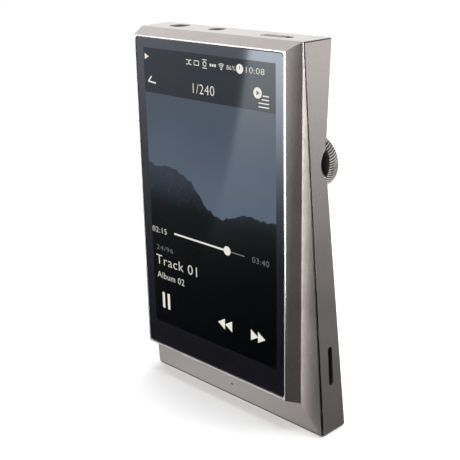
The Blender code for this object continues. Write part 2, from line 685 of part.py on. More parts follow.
def inlay_outline(edge):
    """The flat part of the back, that far in from its edges."""
    def facet_x(z):
        end = TOP if z > NOTCH_Z else BASE
        share = (z - NOTCH_Z) / (end - NOTCH_Z)
        inner = side_x(NOTCH_Z) - NOTCH_REACH
        return inner + share * (side_x(end) - inner)

    left = left_x(BODY_DEPTH, LEFT_WALL) + edge
    upper = INNER_TOP - edge
    lower = INNER_BASE + edge
    upper_right = min(facet_x(upper) - edge, side_x(upper, SIDE_WALL) - edge)
    lower_right = min(facet_x(lower) - edge, side_x(lower, SIDE_WALL) - edge)
    return [
        (left, lower), (lower_right, lower), (facet_x(NOTCH_Z) - edge, NOTCH_Z),
        (upper_right, upper), (left, upper),
    ]


def make_rear_inlay():
    inlay = plate(
        "rear_inlay", inlay_outline(INLAY_EDGE), "Y",
        BODY_DEPTH - INLAY_THICKNESS, BODY_DEPTH - KEY_SINK,
    )
    as_part(inlay, "rear_inlay", CARBON)


def base_plate_box(spare=0.0):
    """The base plate's corners, with some space round it."""
    reach = Vector((BASE_PLATE_WIDTH / 2 + spare, BASE_PLATE_DEPTH / 2 + spare, 0.0))
    foot = Vector((BASE_X, BASE_Y, BASE))
    return foot - reach, foot + reach + Vector((0.0, 0.0, BASE_PLATE_THICKNESS + spare))


def make_base_plate():
    low, high = base_plate_box()
    plate_part = as_part(block("bottom_plate", low, high), "bottom_plate", BODY_METAL)
    boolean(plate_part, usb_hole())
    for contact_x in contact_places():
        boolean(plate_part, cylinder(
            "plate_contact_hole", CONTACT_RADIUS + KEY_GAP, (contact_x, BASE_Y), "Z",
            BASE - PAST, INNER_BASE, MEDIUM,
        ))
    for screw_x in base_screw_places():
        boolean(plate_part, cylinder(
            "plate_screw_hole", SCREW_RADIUS + RUNNING_GAP, (screw_x, BASE_Y), "Z",
            BASE - PAST, INNER_BASE, COARSE,
        ))
        boolean(plate_part, cylinder(
            "plate_screw_sink", SCREW_HEAD_RADIUS + KEY_GAP, (screw_x, BASE_Y), "Z",
            BASE - PAST, BASE + KEY_SINK + SCREW_HEAD_HEIGHT + KEY_GAP / 2, MEDIUM,
        ))


# ---------------------------------------------------------------- display

def display_box(spare=0.0):
    """The display's corners, with some space round its edges."""
    reach = Vector((LIT_X + DISPLAY_BORDER + spare, 0.0, LIT_Z + DISPLAY_BORDER + spare))
    low = Vector((-reach.x, DISPLAY_FRONT, -reach.z))
    return low, Vector((reach.x, DISPLAY_FRONT + DISPLAY_THICKNESS, reach.z))


def make_display():
    x, width = span(-(LIT_X + GLASS_LEFT), LIT_X + GLASS_RIGHT)
    z, height = span(-(LIT_Z + GLASS_BOTTOM), LIT_Z + GLASS_TOP)
    outline = rounded((x, z), width, height, GLASS_CORNER)
    glass = plate("screen_glass", outline, "Y", GLASS_SINK, GLASS_SINK + GLASS_THICKNESS)
    as_part(glass, "screen_glass", GLASS)
    low, high = display_box()
    as_part(block("display_panel", low, high), "display_panel", SCREEN)
    gasket = plate("screen_gasket", outline, "Y", DISPLAY_FRONT, DISPLAY_FRONT + GASKET_THICKNESS)
    as_part(gasket, "screen_gasket", RUBBER)
    low, high = display_box(LAYER_GAP)
    low.y, high.y = -PAST, SEAT_Y + PAST
    boolean(gasket, block("gasket_opening", low, high))


def make_display_flex():
    as_part(block(
        "display_flex", (-FLEX_WIDTH / 2, DISPLAY_FRONT + DISPLAY_THICKNESS + GAP, FLEX_Z),
        (FLEX_WIDTH / 2, BOARD_FRONT - LAYER_GAP, FLEX_Z + FLEX_THICKNESS),
    ), "display_flex", FLEX)


# ---------------------------------------------------------------- inner plates and electronics

def midframe_screw_places():
    low, high = display_box(LAYER_GAP)
    upper = (high.z + INNER_TOP) / 2
    lower = (low.z + FOOT_BOTTOM) / 2
    side = LIT_X - MIDFRAME_SCREW_INSET
    return [(-side, upper), (side, upper), (-side, lower), (side, lower)]


def board_screw_places():
    edge = BOARD_SCREW_EDGE
    left = BOARD_LEFT + edge
    right = BOARD_RIGHT - edge
    between_jacks = jack_places()[0][0] + BALANCED_FROM_HEADPHONE / 2
    return [(left, BOARD_BOTTOM + edge), (right, BOARD_BOTTOM + edge),
            (between_jacks, BOARD_TOP - edge), (POWER_X - POWER_SLOT_LENGTH, BOARD_TOP - edge)]


def make_midframe():
    low = (FOOT_LEFT, MIDFRAME_FRONT, INNER_BASE + GAP)
    high = (SIDE_BASE, MIDFRAME_REAR, INNER_TOP - GAP)
    cuts = [left_plane(LEFT_WALL + GAP), side_plane(BOSS_DEPTH + 2 * GAP)]
    midframe = as_part(block("midframe", low, high, cuts), "midframe", STEEL)
    for x, z in board_screw_places():
        boolean(midframe, cylinder(
            "standoff", STANDOFF_RADIUS, (x, z), "Y",
            MIDFRAME_FRONT + KEY_GAP, MIDFRAME_REAR + STANDOFF_HEIGHT, ROUND,
        ), "UNION")
        boolean(midframe, cylinder(
            "standoff_hole", SCREW_RADIUS + RUNNING_GAP, (x, z), "Y",
            MIDFRAME_FRONT - PAST / 3, BOARD_REAR, COARSE,
        ))
    for x, z in midframe_screw_places():
        boolean(midframe, cylinder(
            "midframe_hole", SCREW_RADIUS + RUNNING_GAP, (x, z), "Y",
            MIDFRAME_FRONT - PAST / 3, BOARD_REAR, COARSE,
        ))
    boolean(midframe, block(
        "flex_slot", (-FLEX_WIDTH / 2 - GAP, MIDFRAME_FRONT - PAST / 3, FLEX_Z - GAP),
        (FLEX_WIDTH / 2 + GAP, BOARD_REAR, FLEX_Z + FLEX_THICKNESS + GAP),
    ))


def make_screw(name, place, length, turn):
    profile = [
        (0.0, SCREW_HEAD_HEIGHT), (SCREW_HEAD_RADIUS * SCREW_CROWN, SCREW_HEAD_HEIGHT),
        (SCREW_HEAD_RADIUS, SCREW_HEAD_HEIGHT * SCREW_SHOULDER), (SCREW_HEAD_RADIUS, 0.0),
        (SCREW_RADIUS, 0.0), (SCREW_RADIUS, -length), (0.0, -length),
    ]
    as_part(turned(name, profile, MEDIUM, place, turn), name, STEEL)


FACING_REAR = Matrix.Rotation(math.radians(-90), 3, "X").to_quaternion()
FACING_DOWN = Matrix.Rotation(math.radians(180), 3, "X").to_quaternion()


def make_screws():
    for count, (x, z) in enumerate(midframe_screw_places(), 1):
        length = MIDFRAME_THICKNESS + GAP + SCREW_GRIP
        place = (x, MIDFRAME_REAR + LAYER_GAP, z)
        make_screw(f"midframe_screw_{count}", place, length, FACING_REAR)
    for count, (x, z) in enumerate(board_screw_places(), 1):
        length = BOARD_THICKNESS + GAP + LAYER_GAP + SCREW_GRIP
        make_screw(f"board_screw_{count}", (x, BOARD_REAR + LAYER_GAP, z), length, FACING_REAR)
    for count, x in enumerate(base_screw_places(), 1):
        place = (x, BASE_Y, BASE + KEY_SINK + SCREW_HEAD_HEIGHT)
        make_screw(f"base_screw_{count}", place, BASE_PLATE_THICKNESS, FACING_DOWN)


def make_boards():
    cuts = [side_plane(BOSS_DEPTH + GAP)]
    low = (BOARD_LEFT, BOARD_FRONT, BOARD_BOTTOM)
    board = as_part(block("main_board", low, (SIDE_BASE, BOARD_REAR, BOARD_TOP), cuts), "main_board", BOARD)
    for x, z in board_screw_places():
        boolean(board, cylinder(
            "board_hole", SCREW_RADIUS + RUNNING_GAP, (x, z), "Y",
            BOARD_FRONT - PAST / 3, BOARD_REAR + PAST, COARSE,
        ))
    names = ("dac_shield", "amplifier_shield", "processor_shield")
    shield_low = BOARD_BOTTOM + SHIELD_LIFT
    shield_high = BOARD_TOP - JACK_LENGTH
    first = BOARD_LEFT + SHIELD_EDGE
    last = WHEEL_X - max(ENCODER_REACH, WHEEL_REACH) - GAP
    pitch = (last - first + SHIELD_SPACING) / len(names)
    for count, name in enumerate(names):
        left = first + count * pitch
        as_part(block(
            name, (left, BOARD_REAR + LAYER_GAP, shield_low),
            (left + pitch - SHIELD_SPACING, BOARD_REAR + LAYER_GAP + SHIELD_THICKNESS, shield_high),
        ), name, STEEL)


def make_battery():
    rear = INNER_REAR - GAP
    low = (BOARD_LEFT, MIDFRAME_REAR + BATTERY_BEHIND, BATTERY_BOTTOM)
    high = (side_x(CARD_Z, SIDE_WALL) - CARD_SOCKET_LENGTH - 4 * GAP, rear, BOARD_BOTTOM - BATTERY_DROP)
    as_part(block("battery_pack", low, high), "battery_pack", POUCH)
    plug_low = Vector((BOARD_LEFT + PLUG_INSET, BOARD_REAR + LAYER_GAP, BOARD_BOTTOM + PLUG_LIFT))
    plug_high = plug_low + Vector((PLUG_WIDTH, PLUG_THICKNESS, PLUG_HEIGHT))
    as_part(block("battery_connector", plug_low, plug_high), "battery_connector", BLACK)


# ---------------------------------------------------------------- sockets

def jack_places():
    first = left_x(JACK_Y) + HEADPHONE_FROM_LEFT
    return [(first, HEADPHONE_COLLAR_RADIUS), (first + BALANCED_FROM_HEADPHONE, BALANCED_COLLAR_RADIUS)]


def make_jacks():
    names = ("headphone_jack", "balanced_jack")
    bores = (HEADPHONE_BORE_RADIUS, BALANCED_BORE_RADIUS)
    for name, bore, (x, collar) in zip(names, bores, jack_places()):
        barrel = bore + JACK_WALL
        low = INNER_TOP - JACK_LENGTH
        housing = block(
            name, (x - collar, BOARD_REAR + LAYER_GAP, low),
            (x + collar, INNER_REAR - KEY_GAP - (HEADPHONE_COLLAR_RADIUS - collar), INNER_TOP - GAP),
        )
        as_part(housing, name, BLACK)
        boolean(housing, cylinder(
            name + "_barrel", barrel, (x, JACK_Y), "Z", INNER_TOP - 2 * GAP, TOP - 2 * COLLAR_SINK,
        ), "UNION")
        boolean(housing, cylinder(name + "_bore", bore, (x, JACK_Y), "Z", low + JACK_WALL, TOP + PAST))
        ring = cylinder(
            name + "_collar", collar, (x, JACK_Y), "Z", TOP - COLLAR_SINK - COLLAR_HEIGHT, TOP - COLLAR_SINK,
        )
        as_part(ring, name + "_collar", STEEL)
        boolean(ring, cylinder(
            name + "_collar_bore", barrel + KEY_GAP, (x, JACK_Y), "Z", TOP - 2 * PAST, TOP + PAST,
        ))


def usb_outline(grow):
    return rounded((USB_X, BASE_Y), USB_WIDTH + 2 * grow, USB_THICKNESS + 2 * grow, USB_CORNER + grow, 4)


def usb_hole():
    return plate("usb_hole", usb_outline(KEY_GAP), "Z", BASE - PAST, INNER_BASE + PAST)


def make_usb():
    shell = plate("usb_socket", usb_outline(0.0), "Z", BASE + KEY_SINK, BASE + USB_DEPTH)
    as_part(shell, "usb_socket", STEEL)
    boolean(shell, plate(
        "usb_mouth", usb_outline(-USB_WALL), "Z", BASE - PAST, BASE + USB_DEPTH - 2 * USB_WALL,
    ))
    tongue = block(
        "usb_tongue", (USB_X - USB_WIDTH / 3, BASE_Y - USB_WALL, BASE + 4 * USB_WALL),
        (USB_X + USB_WIDTH / 3, BASE_Y + USB_WALL, BASE + USB_DEPTH - USB_WALL),
    )
    boolean(shell, tongue, "UNION")
    rear = BASE_Y - USB_THICKNESS / 2 - LAYER_GAP
    as_part(block(
        "usb_board", (USB_X - USB_WIDTH, rear - KEY_BOARD_THICKNESS, INNER_BASE + GAP),
        (USB_X + USB_WIDTH, rear, BATTERY_BOTTOM - GAP),
    ), "usb_board", BOARD)
    for count, x in enumerate(contact_places(), 1):
        as_part(cylinder(
            f"dock_contact_{count}", CONTACT_RADIUS, (x, BASE_Y), "Z",
            BASE + KEY_SINK, INNER_BASE + CONTACT_REACH, MEDIUM,
        ), f"dock_contact_{count}", GOLD)


def contact_places():
    return [CONTACT_X + step * CONTACT_PITCH for step in range(4)]


def base_screw_places():
    reach = BASE_PLATE_WIDTH / 2 - BASE_SCREW_INSET
    return [BASE_X - reach, BASE_X + reach]


def make_card_socket():
    left = side_x(CARD_Z, SIDE_WALL) - 2 * GAP - CARD_SOCKET_LENGTH
    half = CARD_SLOT_LENGTH / 2
    low_y = CARD_SLOT_Y - CARD_SOCKET_THICKNESS / 2

    def upright_block(name, from_x, low, high, reach, cuts=()):
        return block(name, (from_x, low, CARD_Z - reach), (SIDE_BASE, high, CARD_Z + reach), cuts)

    socket = upright_block(
        "card_socket", left, low_y, low_y + CARD_SOCKET_THICKNESS, half + CARD_SOCKET_SIDE,
        [side_plane(SIDE_WALL + GAP)],
    )
    as_part(socket, "card_socket", BLACK)
    boolean(socket, upright_block(
        "card_space", left + CARD_SOCKET_WALL, CARD_SLOT_Y - CARD_THICKNESS / 2,
        CARD_SLOT_Y + CARD_THICKNESS / 2, half - CARD_SIDE_GAP,
    ))
    high_y = low_y - LAYER_GAP
    as_part(upright_block(
        "card_board", left, high_y - KEY_BOARD_THICKNESS, high_y, half + CARD_BOARD_SIDE,
        [side_plane(SIDE_WALL + 2 * GAP)],
    ), "card_board", BOARD)


def make_antenna():
    low = Vector((USB_X + USB_WIDTH + ANTENNA_GAP, BASE_Y - ANTENNA_FRONT, INNER_BASE + GAP))
    high = low + Vector((ANTENNA_WIDTH, ANTENNA_FRONT + ANTENNA_REAR, ANTENNA_HEIGHT))
    as_part(block("wireless_antenna", low, high), "wireless_antenna", FLEX)


# ---------------------------------------------------------------- keys

def side_key_levels():
    middle = TOP - SIDE_KEY_DROP
    return [middle + SIDE_KEY_PITCH, middle, middle - SIDE_KEY_PITCH]


def make_side_keys():
    outer = left_x(JACK_Y) + KEY_SINK
    inner = left_x(JACK_Y - SIDE_KEY_WIDTH / 2 - KEY_FLANGE, LEFT_WALL) + KEY_GAP
    switch_low = inner + KEY_FLANGE + TRAVEL + KEY_SINK
    for name, level in zip(("next", "play", "previous"), side_key_levels()):
        place = (outer, JACK_Y, level)
        cap = plate(
            name + "_button", pill((JACK_Y, level), SIDE_KEY_WIDTH, SIDE_KEY_LENGTH), "X",
            outer, inner + KEY_FLANGE / 2, place,
        )
        as_part(cap, name + "_button", BODY_METAL)
        boolean(cap, plate(
            name + "_flange", pill(
                (JACK_Y, level), SIDE_KEY_WIDTH + 2 * KEY_FLANGE, SIDE_KEY_LENGTH + 2 * KEY_FLANGE,
            ), "X", inner, inner + KEY_FLANGE,
        ), "UNION")
        half_width = SIDE_SWITCH_WIDTH / 2
        half_length = SIDE_SWITCH_LENGTH / 2
        as_part(block(
            name + "_switch", (switch_low, JACK_Y - half_width, level - half_length),
            (switch_low + SWITCH_THICKNESS, JACK_Y + half_width, level + half_length),
        ), name + "_switch", BLACK)
    levels = side_key_levels()
    board_low = switch_low + SWITCH_THICKNESS + LAYER_GAP
    as_part(block(
        "side_key_board", (board_low, JACK_Y - KEY_BOARD_WIDTH / 2, levels[-1] - KEY_BOARD_PAST),
        (board_low + KEY_BOARD_THICKNESS, JACK_Y + KEY_BOARD_WIDTH / 2, levels[0] + KEY_BOARD_PAST),
    ), "side_key_board", BOARD)


def make_power_key():
    length = POWER_SLOT_LENGTH - 2 * LIGHT_RADIUS - 3 * POWER_GAP
    x = POWER_X - POWER_SLOT_LENGTH / 2 + POWER_GAP + length / 2
    width = POWER_SLOT_WIDTH - 2 * POWER_GAP
    top = TOP - POWER_SINK
    flange_top = INNER_TOP - KEY_GAP
    place = (x, POWER_Y, top)
    outline = pill((x, POWER_Y), length, width)
    cap = plate("power_button", outline, "Z", flange_top - KEY_FLANGE / 2, top, place)
    as_part(cap, "power_button", BODY_METAL)
    boolean(cap, plate(
        "power_flange", rounded((x - KEY_FLANGE, POWER_Y), length, width + 2 * KEY_FLANGE, width / 3, 3), "Z",
        flange_top - KEY_FLANGE, flange_top,
    ), "UNION")
    switch_top = flange_top - KEY_FLANGE - TRAVEL - KEY_SINK
    as_part(block(
        "power_switch",
        (x - POWER_SWITCH_LENGTH / 2, POWER_Y - POWER_SWITCH_FRONT, switch_top - SWITCH_THICKNESS),
        (x + POWER_SWITCH_LENGTH / 2, POWER_Y + POWER_SWITCH_REAR, switch_top),
    ), "power_switch", BLACK)
    light_x = POWER_X + POWER_SLOT_LENGTH / 2 - POWER_GAP - LIGHT_RADIUS
    as_part(cylinder(
        "status_light", LIGHT_RADIUS, (light_x, POWER_Y), "Z",
        flange_top - KEY_FLANGE, TOP - LIGHT_SINK, ROUND,
    ), "status_light", LENS)


# ---------------------------------------------------------------- volume wheel

def make_wheel():
    bore = SPINDLE_RADIUS + RUNNING_GAP
    recess = WHEEL_CAP_RADIUS + LAYER_GAP
    depth = WHEEL_CAP_THICKNESS + LAYER_GAP
    profile = [
        (bore, -depth), (recess, -depth), (recess, 0.0), (WHEEL_RADIUS - WHEEL_REAR_BEVEL, 0.0),
        (WHEEL_RADIUS, -WHEEL_REAR_BEVEL), (WHEEL_RADIUS, WHEEL_FRONT_BEVEL_DEPTH - WHEEL_THICKNESS),
        (WHEEL_RADIUS - WHEEL_FRONT_BEVEL, -WHEEL_THICKNESS), (bore, -WHEEL_THICKNESS), (bore, -depth),
    ]
    place = (WHEEL_X, WHEEL_REAR, WHEEL_Z)
    as_part(turned("volume_wheel", profile, FINEST, place, FACING_REAR), "volume_wheel", WHEEL_METAL)
    spindle_front = BOARD_REAR + LAYER_GAP
    as_part(cylinder(
        "wheel_spindle", SPINDLE_RADIUS, (WHEEL_X, WHEEL_Z), "Y", spindle_front, WHEEL_REAR - depth, ROUND,
        (WHEEL_X, WHEEL_REAR, WHEEL_Z),
    ), "wheel_spindle", STEEL)
    as_part(cylinder(
        "wheel_cap", WHEEL_CAP_RADIUS, (WHEEL_X, WHEEL_Z), "Y",
        WHEEL_REAR - WHEEL_CAP_THICKNESS, WHEEL_REAR, FINE,
        (WHEEL_X, WHEEL_REAR, WHEEL_Z),
    ), "wheel_cap", WHEEL_METAL)


def make_wheel_mount():
    bore = SPINDLE_RADIUS + GAP
    right = side_x(WHEEL_Z + SCOOP_RADIUS, BOSS_DEPTH + GAP)
    front = BOARD_REAR + LAYER_GAP
    rear = WHEEL_FRONT - GAP
    encoder = block(
        "encoder_body", (WHEEL_X - ENCODER_REACH, front, WHEEL_Z - SCOOP_RADIUS),
        (right, rear - BRACKET_THICKNESS - GAP, WHEEL_Z + SCOOP_RADIUS),
    )
    as_part(encoder, "encoder_body", BLACK)
    boolean(encoder, cylinder("encoder_bore", bore, (WHEEL_X, WHEEL_Z), "Y", 0.0, BODY_DEPTH + PAST, ROUND))
    bracket = cylinder(
        "wheel_bracket", WHEEL_REACH - GAP, (WHEEL_X, WHEEL_Z), "Y",
        rear - BRACKET_THICKNESS, rear,
    )
    as_part(bracket, "wheel_bracket", STEEL)
    boolean(bracket, cylinder("bracket_bore", bore, (WHEEL_X, WHEEL_Z), "Y", 0.0, BODY_DEPTH + PAST, ROUND))
    boolean(bracket, block(
        "bracket_flat", (right, 0.0, BASE), (SIDE_BASE + PAST, BODY_DEPTH + PAST, TOP),
    ))


def main():
    make_front_housing()
    make_side_panel()
    make_rear_cover()
    make_rear_inlay()
    make_base_plate()
    make_display()
    make_display_flex()
    make_midframe()
    make_screws()
    make_boards()
    make_battery()
    make_jacks()
    make_usb()
    make_card_socket()
    make_antenna()
    make_side_keys()
    make_power_key()
    make_wheel()
    make_wheel_mount()


main()
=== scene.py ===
"""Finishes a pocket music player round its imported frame: bevelled blasted metal, a glass front with a lit
picture, a knurled volume wheel, a woven back and the small fittings. Lengths are in metres."""

import math

import bmesh
import bpy
from bpy.props import FloatProperty, FloatVectorProperty, IntProperty, PointerProperty
from mathutils import Matrix, Vector


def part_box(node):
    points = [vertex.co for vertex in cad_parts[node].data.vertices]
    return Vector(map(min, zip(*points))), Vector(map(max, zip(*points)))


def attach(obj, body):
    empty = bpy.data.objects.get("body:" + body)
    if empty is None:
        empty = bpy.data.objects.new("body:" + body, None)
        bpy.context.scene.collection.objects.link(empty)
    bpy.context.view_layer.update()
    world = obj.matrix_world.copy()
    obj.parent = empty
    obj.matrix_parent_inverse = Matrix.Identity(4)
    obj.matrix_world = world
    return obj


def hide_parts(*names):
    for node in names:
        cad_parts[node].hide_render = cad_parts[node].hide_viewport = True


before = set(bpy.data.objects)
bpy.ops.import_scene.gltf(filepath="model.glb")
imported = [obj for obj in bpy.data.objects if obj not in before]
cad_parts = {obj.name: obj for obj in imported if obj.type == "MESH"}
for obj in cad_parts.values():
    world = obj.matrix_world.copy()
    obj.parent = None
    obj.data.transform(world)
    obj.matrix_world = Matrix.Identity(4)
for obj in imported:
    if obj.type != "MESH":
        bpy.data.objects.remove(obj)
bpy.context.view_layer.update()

bl_info = {
    "name": "Pocket music player",
    "version": (1, 0, 0),
    "blender": (4, 5, 0),
    "location": "3D View > Sidebar > Player",
    "description": "Builds the finished surfaces of a pocket music player round its frame",
    "category": "Object",
}

MM = 0.001
FULL_TURN = 2 * math.pi
SHARP_TURN = math.radians(35)      # edges that turn more are always shaded as corners
FLAT_TURN = math.radians(3)        # between large flat faces, edges that turn more are too
FLAT_LENGTH = 4 * MM
LONG_EDGE = 9 * MM
MERGE_DISTANCE = 0.002 * MM
SAME_PLANE_TURN = math.radians(0.4)
ORIGIN = Vector((0.0, 0.0, 0.0))

PANEL_LOW, PANEL_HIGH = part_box("display_panel")
HOUSING_LOW, HOUSING_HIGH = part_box("front_housing")
GLASS_LOW, GLASS_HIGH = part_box("screen_glass")
WHEEL_LOW, WHEEL_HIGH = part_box("volume_wheel")
CAP_LOW, CAP_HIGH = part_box("wheel_cap")
DISPLAY_BORDER = 1.4 * MM
LIT_CENTRE = (PANEL_LOW + PANEL_HIGH) / 2
LIT_HALF_WIDTH = (PANEL_HIGH.x - PANEL_LOW.x) / 2 - DISPLAY_BORDER
LIT_HALF_HEIGHT = (PANEL_HIGH.z - PANEL_LOW.z) / 2 - DISPLAY_BORDER
FRONT = HOUSING_LOW.y
WHEEL_CENTRE = (WHEEL_LOW + WHEEL_HIGH) / 2
WHEEL_FRONT_BEVEL = 0.8 * MM
WHEEL_REAR_BEVEL = 0.3 * MM
GLASS_CORNER = 1.1 * MM
# sizes of the dark rings round the power button and the status light, which are painted shade for the gaps round
# them
SHADE_RING_DEPTH = 0.3 * MM
SHADE_RING_RISE = 0.012 * MM
SHADE_RING_CLEARANCE = 0.12 * MM


# ---------------------------------------------------------------- sizes and colours

def length(name, description, default):
    return FloatProperty(name=name, description=description, default=default, unit="LENGTH", precision=5)


def colour(name, description, default):
    return FloatVectorProperty(
        name=name, description=description, default=default, subtype="COLOR", size=3, min=0.0, max=1.0,
    )


def share(name, description, default):
    return FloatProperty(
        name=name, description=description, default=default, min=0.0, max=1.0, subtype="FACTOR",
    )


class PlayerSizes(bpy.types.PropertyGroup):
    rim_chamfer: length("Rim chamfer", "Width of the polished chamfer round the glass", 0.11 * MM)
    body_edge: length("Body edge", "Rounding of the body's long edges", 0.10 * MM)
    key_edge: length("Key edge", "Rounding of the buttons' edges", 0.14 * MM)
    glass_edge: length("Glass edge", "Polished bevel round the glass", 0.14 * MM)
    grain: length("Blast grain", "Size of the grain left by blasting", 0.45 * MM)
    tooth_count: IntProperty(name="Teeth", description="Ridges round the volume wheel", default=60, min=12)
    tooth_depth: length("Tooth depth", "Height of the ridges on the volume wheel", 0.42 * MM)
    tooth_rise: length("Tooth rise", "How far a ridge climbs from front to back of the wheel", 1.6 * MM)
    weave_pitch: length("Weave pitch", "Width of one woven band in the back", 1.1 * MM)
    mark_height: length("Mark height", "How far the lit marks stand on the glass", 0.02 * MM)


class PlayerColours(bpy.types.PropertyGroup):
    body: colour("Body", "Blasted metal of the housing", (0.475, 0.440, 0.425))
    side: colour("Side", "Blasted metal of the side panel", (0.465, 0.430, 0.418))
    edge: colour("Polished edge", "Cut and polished edges", (0.80, 0.77, 0.74))
    rim: colour("Rim", "Flat front of the rim round the glass", (0.44, 0.42, 0.42))
    wheel: colour("Wheel", "Turned metal of the wheel", (0.86, 0.83, 0.80))
    steel: colour("Steel", "Sockets and screws", (0.60, 0.60, 0.61))
    # the collars' dark colour is painted shade, standing in for the shade of the sockets' recesses
    collar: colour("Collars", "Dark plated rings round the audio sockets", (0.10, 0.098, 0.10))
    gold: colour("Contacts", "Plated contacts", (0.83, 0.62, 0.26))
    ink: colour("Glass border", "Ink behind the glass's border", (0.0048, 0.0046, 0.0068))
    marks: colour("Marks", "Bright marks on the display", (0.82, 0.79, 0.71))
    dim_marks: colour("Dim marks", "Faint marks on the display", (0.16, 0.17, 0.18))
    sky: colour("Sky", "Dusk sky in the displayed picture", (0.074, 0.097, 0.137))
    ridge: colour("Ridge", "Hills in the displayed picture", (0.020, 0.025, 0.038))
    weave: colour("Weave", "Bands of the woven back", (0.050, 0.052, 0.056))
    blast: share("Blast roughness", "Roughness of the blasted metal", 0.33)


# ---------------------------------------------------------------- shader nodes

class Socket:
    """One output of a node tree. Arithmetic on it adds Math nodes."""

    def __init__(self, nodes, output):
        self.nodes = nodes
        self.output = output

    def maths(self, operation, *others, clamp=False):
        inputs = dict(enumerate((self, *others)))
        return self.nodes.add("ShaderNodeMath", {"operation": operation, "use_clamp": clamp}, inputs)

    def __add__(self, other):
        return self.maths("ADD", other)

    __radd__ = __add__

    def __sub__(self, other):
        return self.maths("SUBTRACT", other)

    def __rsub__(self, other):
        return self * -1 + other

    def __mul__(self, other):
        return self.maths("MULTIPLY", other)

    __rmul__ = __mul__

    def __truediv__(self, other):
        return self.maths("DIVIDE", other)

    def __mod__(self, other):
        return self.maths("FLOORED_MODULO", other)

    def __pow__(self, other):
        return self.maths("POWER", other)

    def __gt__(self, other):
        return self.maths("GREATER_THAN", other)

    def clamped(self):
        return self.maths("ADD", 0.0, clamp=True)


class Nodes:
    """A node tree that is built up one node at a time."""

    def __init__(self, tree):
        self.tree = tree

    def add(self, kind, settings=None, inputs=None, output=0):
        node = self.tree.nodes.new(kind)
        for key, value in (settings or {}).items():
            if key == "stops":
                set_stops(node.color_ramp, value)
            else:
                setattr(node, key, value)
        for key, value in (inputs or {}).items():
            self.feed(node.inputs[key], value)
        return Socket(self, node.outputs[output])

    def feed(self, socket, value):
        if isinstance(value, Socket):
            self.tree.links.new(value.output, socket)
        else:
            socket.default_value = value

    def parts(self, vector):
        split = self.add("ShaderNodeSeparateXYZ", inputs={"Vector": vector})
        return [Socket(self, split.output.node.outputs[axis]) for axis in range(3)]

    def noise(self, place, size, detail=2.0, roughness=0.5):
        inputs = {"Vector": place, "Scale": 1.0 / size, "Detail": detail, "Roughness": roughness}
        return self.add("ShaderNodeTexNoise", inputs=inputs)

    def mixed(self, factor, first, second):
        settings = {"data_type": "RGBA", "blend_type": "MIX"}
        return self.add("ShaderNodeMix", settings, {0: factor, 6: first, 7: second}, output=2)

    def bump(self, height, distance, strength=1.0):
        return self.add("ShaderNodeBump", inputs={"Height": height, "Distance": distance, "Strength": strength})


def set_stops(ramp, stops):
    while len(ramp.elements) < len(stops):
        ramp.elements.new(1.0)
    for element, (position, value) in zip(ramp.elements, stops):
        element.position = position
        element.color = (value, value, value, 1.0) if isinstance(value, float) else (*value, 1.0)


def opaque(colour_value, scale=1.0):
    return (*(part * scale for part in colour_value), 1.0)


def material(name, constants, build=None):
    """A Principled material; build returns what varies over the surface, by socket name."""
    made = bpy.data.materials.new(name)
    made.use_nodes = True
    nodes = Nodes(made.node_tree)
    shader = made.node_tree.nodes["Principled BSDF"]
    for key, value in constants.items():
        shader.inputs[key].default_value = value
    if build:
        place = nodes.add("ShaderNodeTexCoord", output=3)
        for key, value in build(nodes, place).items():
            nodes.feed(shader.inputs[key], value)
    return made


def blasted(name, base, roughness, grain):
    """Bead-blasted metal: a fine grain, a slow change of tone, and duller patches."""
    def build(nodes, place):
        fine = nodes.noise(place, grain, 3.0, 0.6)
        broad = nodes.noise(place, 20 * grain, 2.0, 0.5)
        tone = nodes.mixed(fine * 0.7 + broad * 0.3, opaque(base, 0.72), opaque(base, 1.28))
        gloss = fine * 0.14 + broad * 0.06 + (roughness - 0.10)
        return {"Base Color": tone, "Roughness": gloss, "Normal": nodes.bump(fine, 0.009 * MM)}

    return material(name, {"Metallic": 1.0}, build)


def polished(name, base, roughness):
    """Cut metal with faint traces of the tool."""
    def build(nodes, place):
        along = nodes.noise(place, 0.30 * MM, 2.0)
        return {
            "Base Color": nodes.mixed(along, opaque(base, 0.92), opaque(base)),
            "Roughness": along * 0.10 + (roughness - 0.05),
        }

    return material(name, {"Metallic": 1.0}, build)


def turned_metal(name, base, centre, spacing):
    """Metal with the fine rings that a lathe leaves round an axis along Y."""
    def build(nodes, place):
        x, _, z = nodes.parts(place)
        across = x - centre.x
        up = z - centre.z
        radius = (across * across + up * up) ** 0.5
        ring = (radius * (FULL_TURN / spacing)).maths("SINE")
        stain = nodes.noise(place, 2.0 * MM)
        return {
            "Base Color": nodes.mixed(stain, opaque(base, 0.88), opaque(base)),
            "Roughness": ring * 0.05 + stain * 0.08 + 0.24,
            "Normal": nodes.bump(ring, 0.004 * MM),
        }

    return material(name, {"Metallic": 1.0}, build)


def moulded(name, base, roughness, grain=0.25 * MM, metallic=0.0):
    """Plastic, rubber, film or plating with a light texture."""
    def build(nodes, place):
        fine = nodes.noise(place, grain, 3.0)
        return {
            "Base Color": nodes.mixed(fine, opaque(base, 0.80), opaque(base, 1.15)),
            "Roughness": fine * 0.14 + (roughness - 0.07),
            "Normal": nodes.bump(fine, 0.010 * MM),
        }

    return material(name, {"Metallic": metallic}, build)


def circuit(name, base):
    """A lacquered board with copper tracks under its mask."""
    def build(nodes, place):
        x, _, z = nodes.parts(place)
        cells = nodes.noise(place, 3.0 * MM, 0.0)
        line = ((x + z) * (1.0 / (0.8 * MM)) + cells * 3.0) % 1.0
        track = line > 0.62
        return {
            "Base Color": nodes.mixed(track, opaque(base), opaque(base, 1.9)),
            "Normal": nodes.bump(track, 0.02 * MM),
        }

    return material(name, {"Roughness": 0.35, "Coat Weight": 0.4}, build)


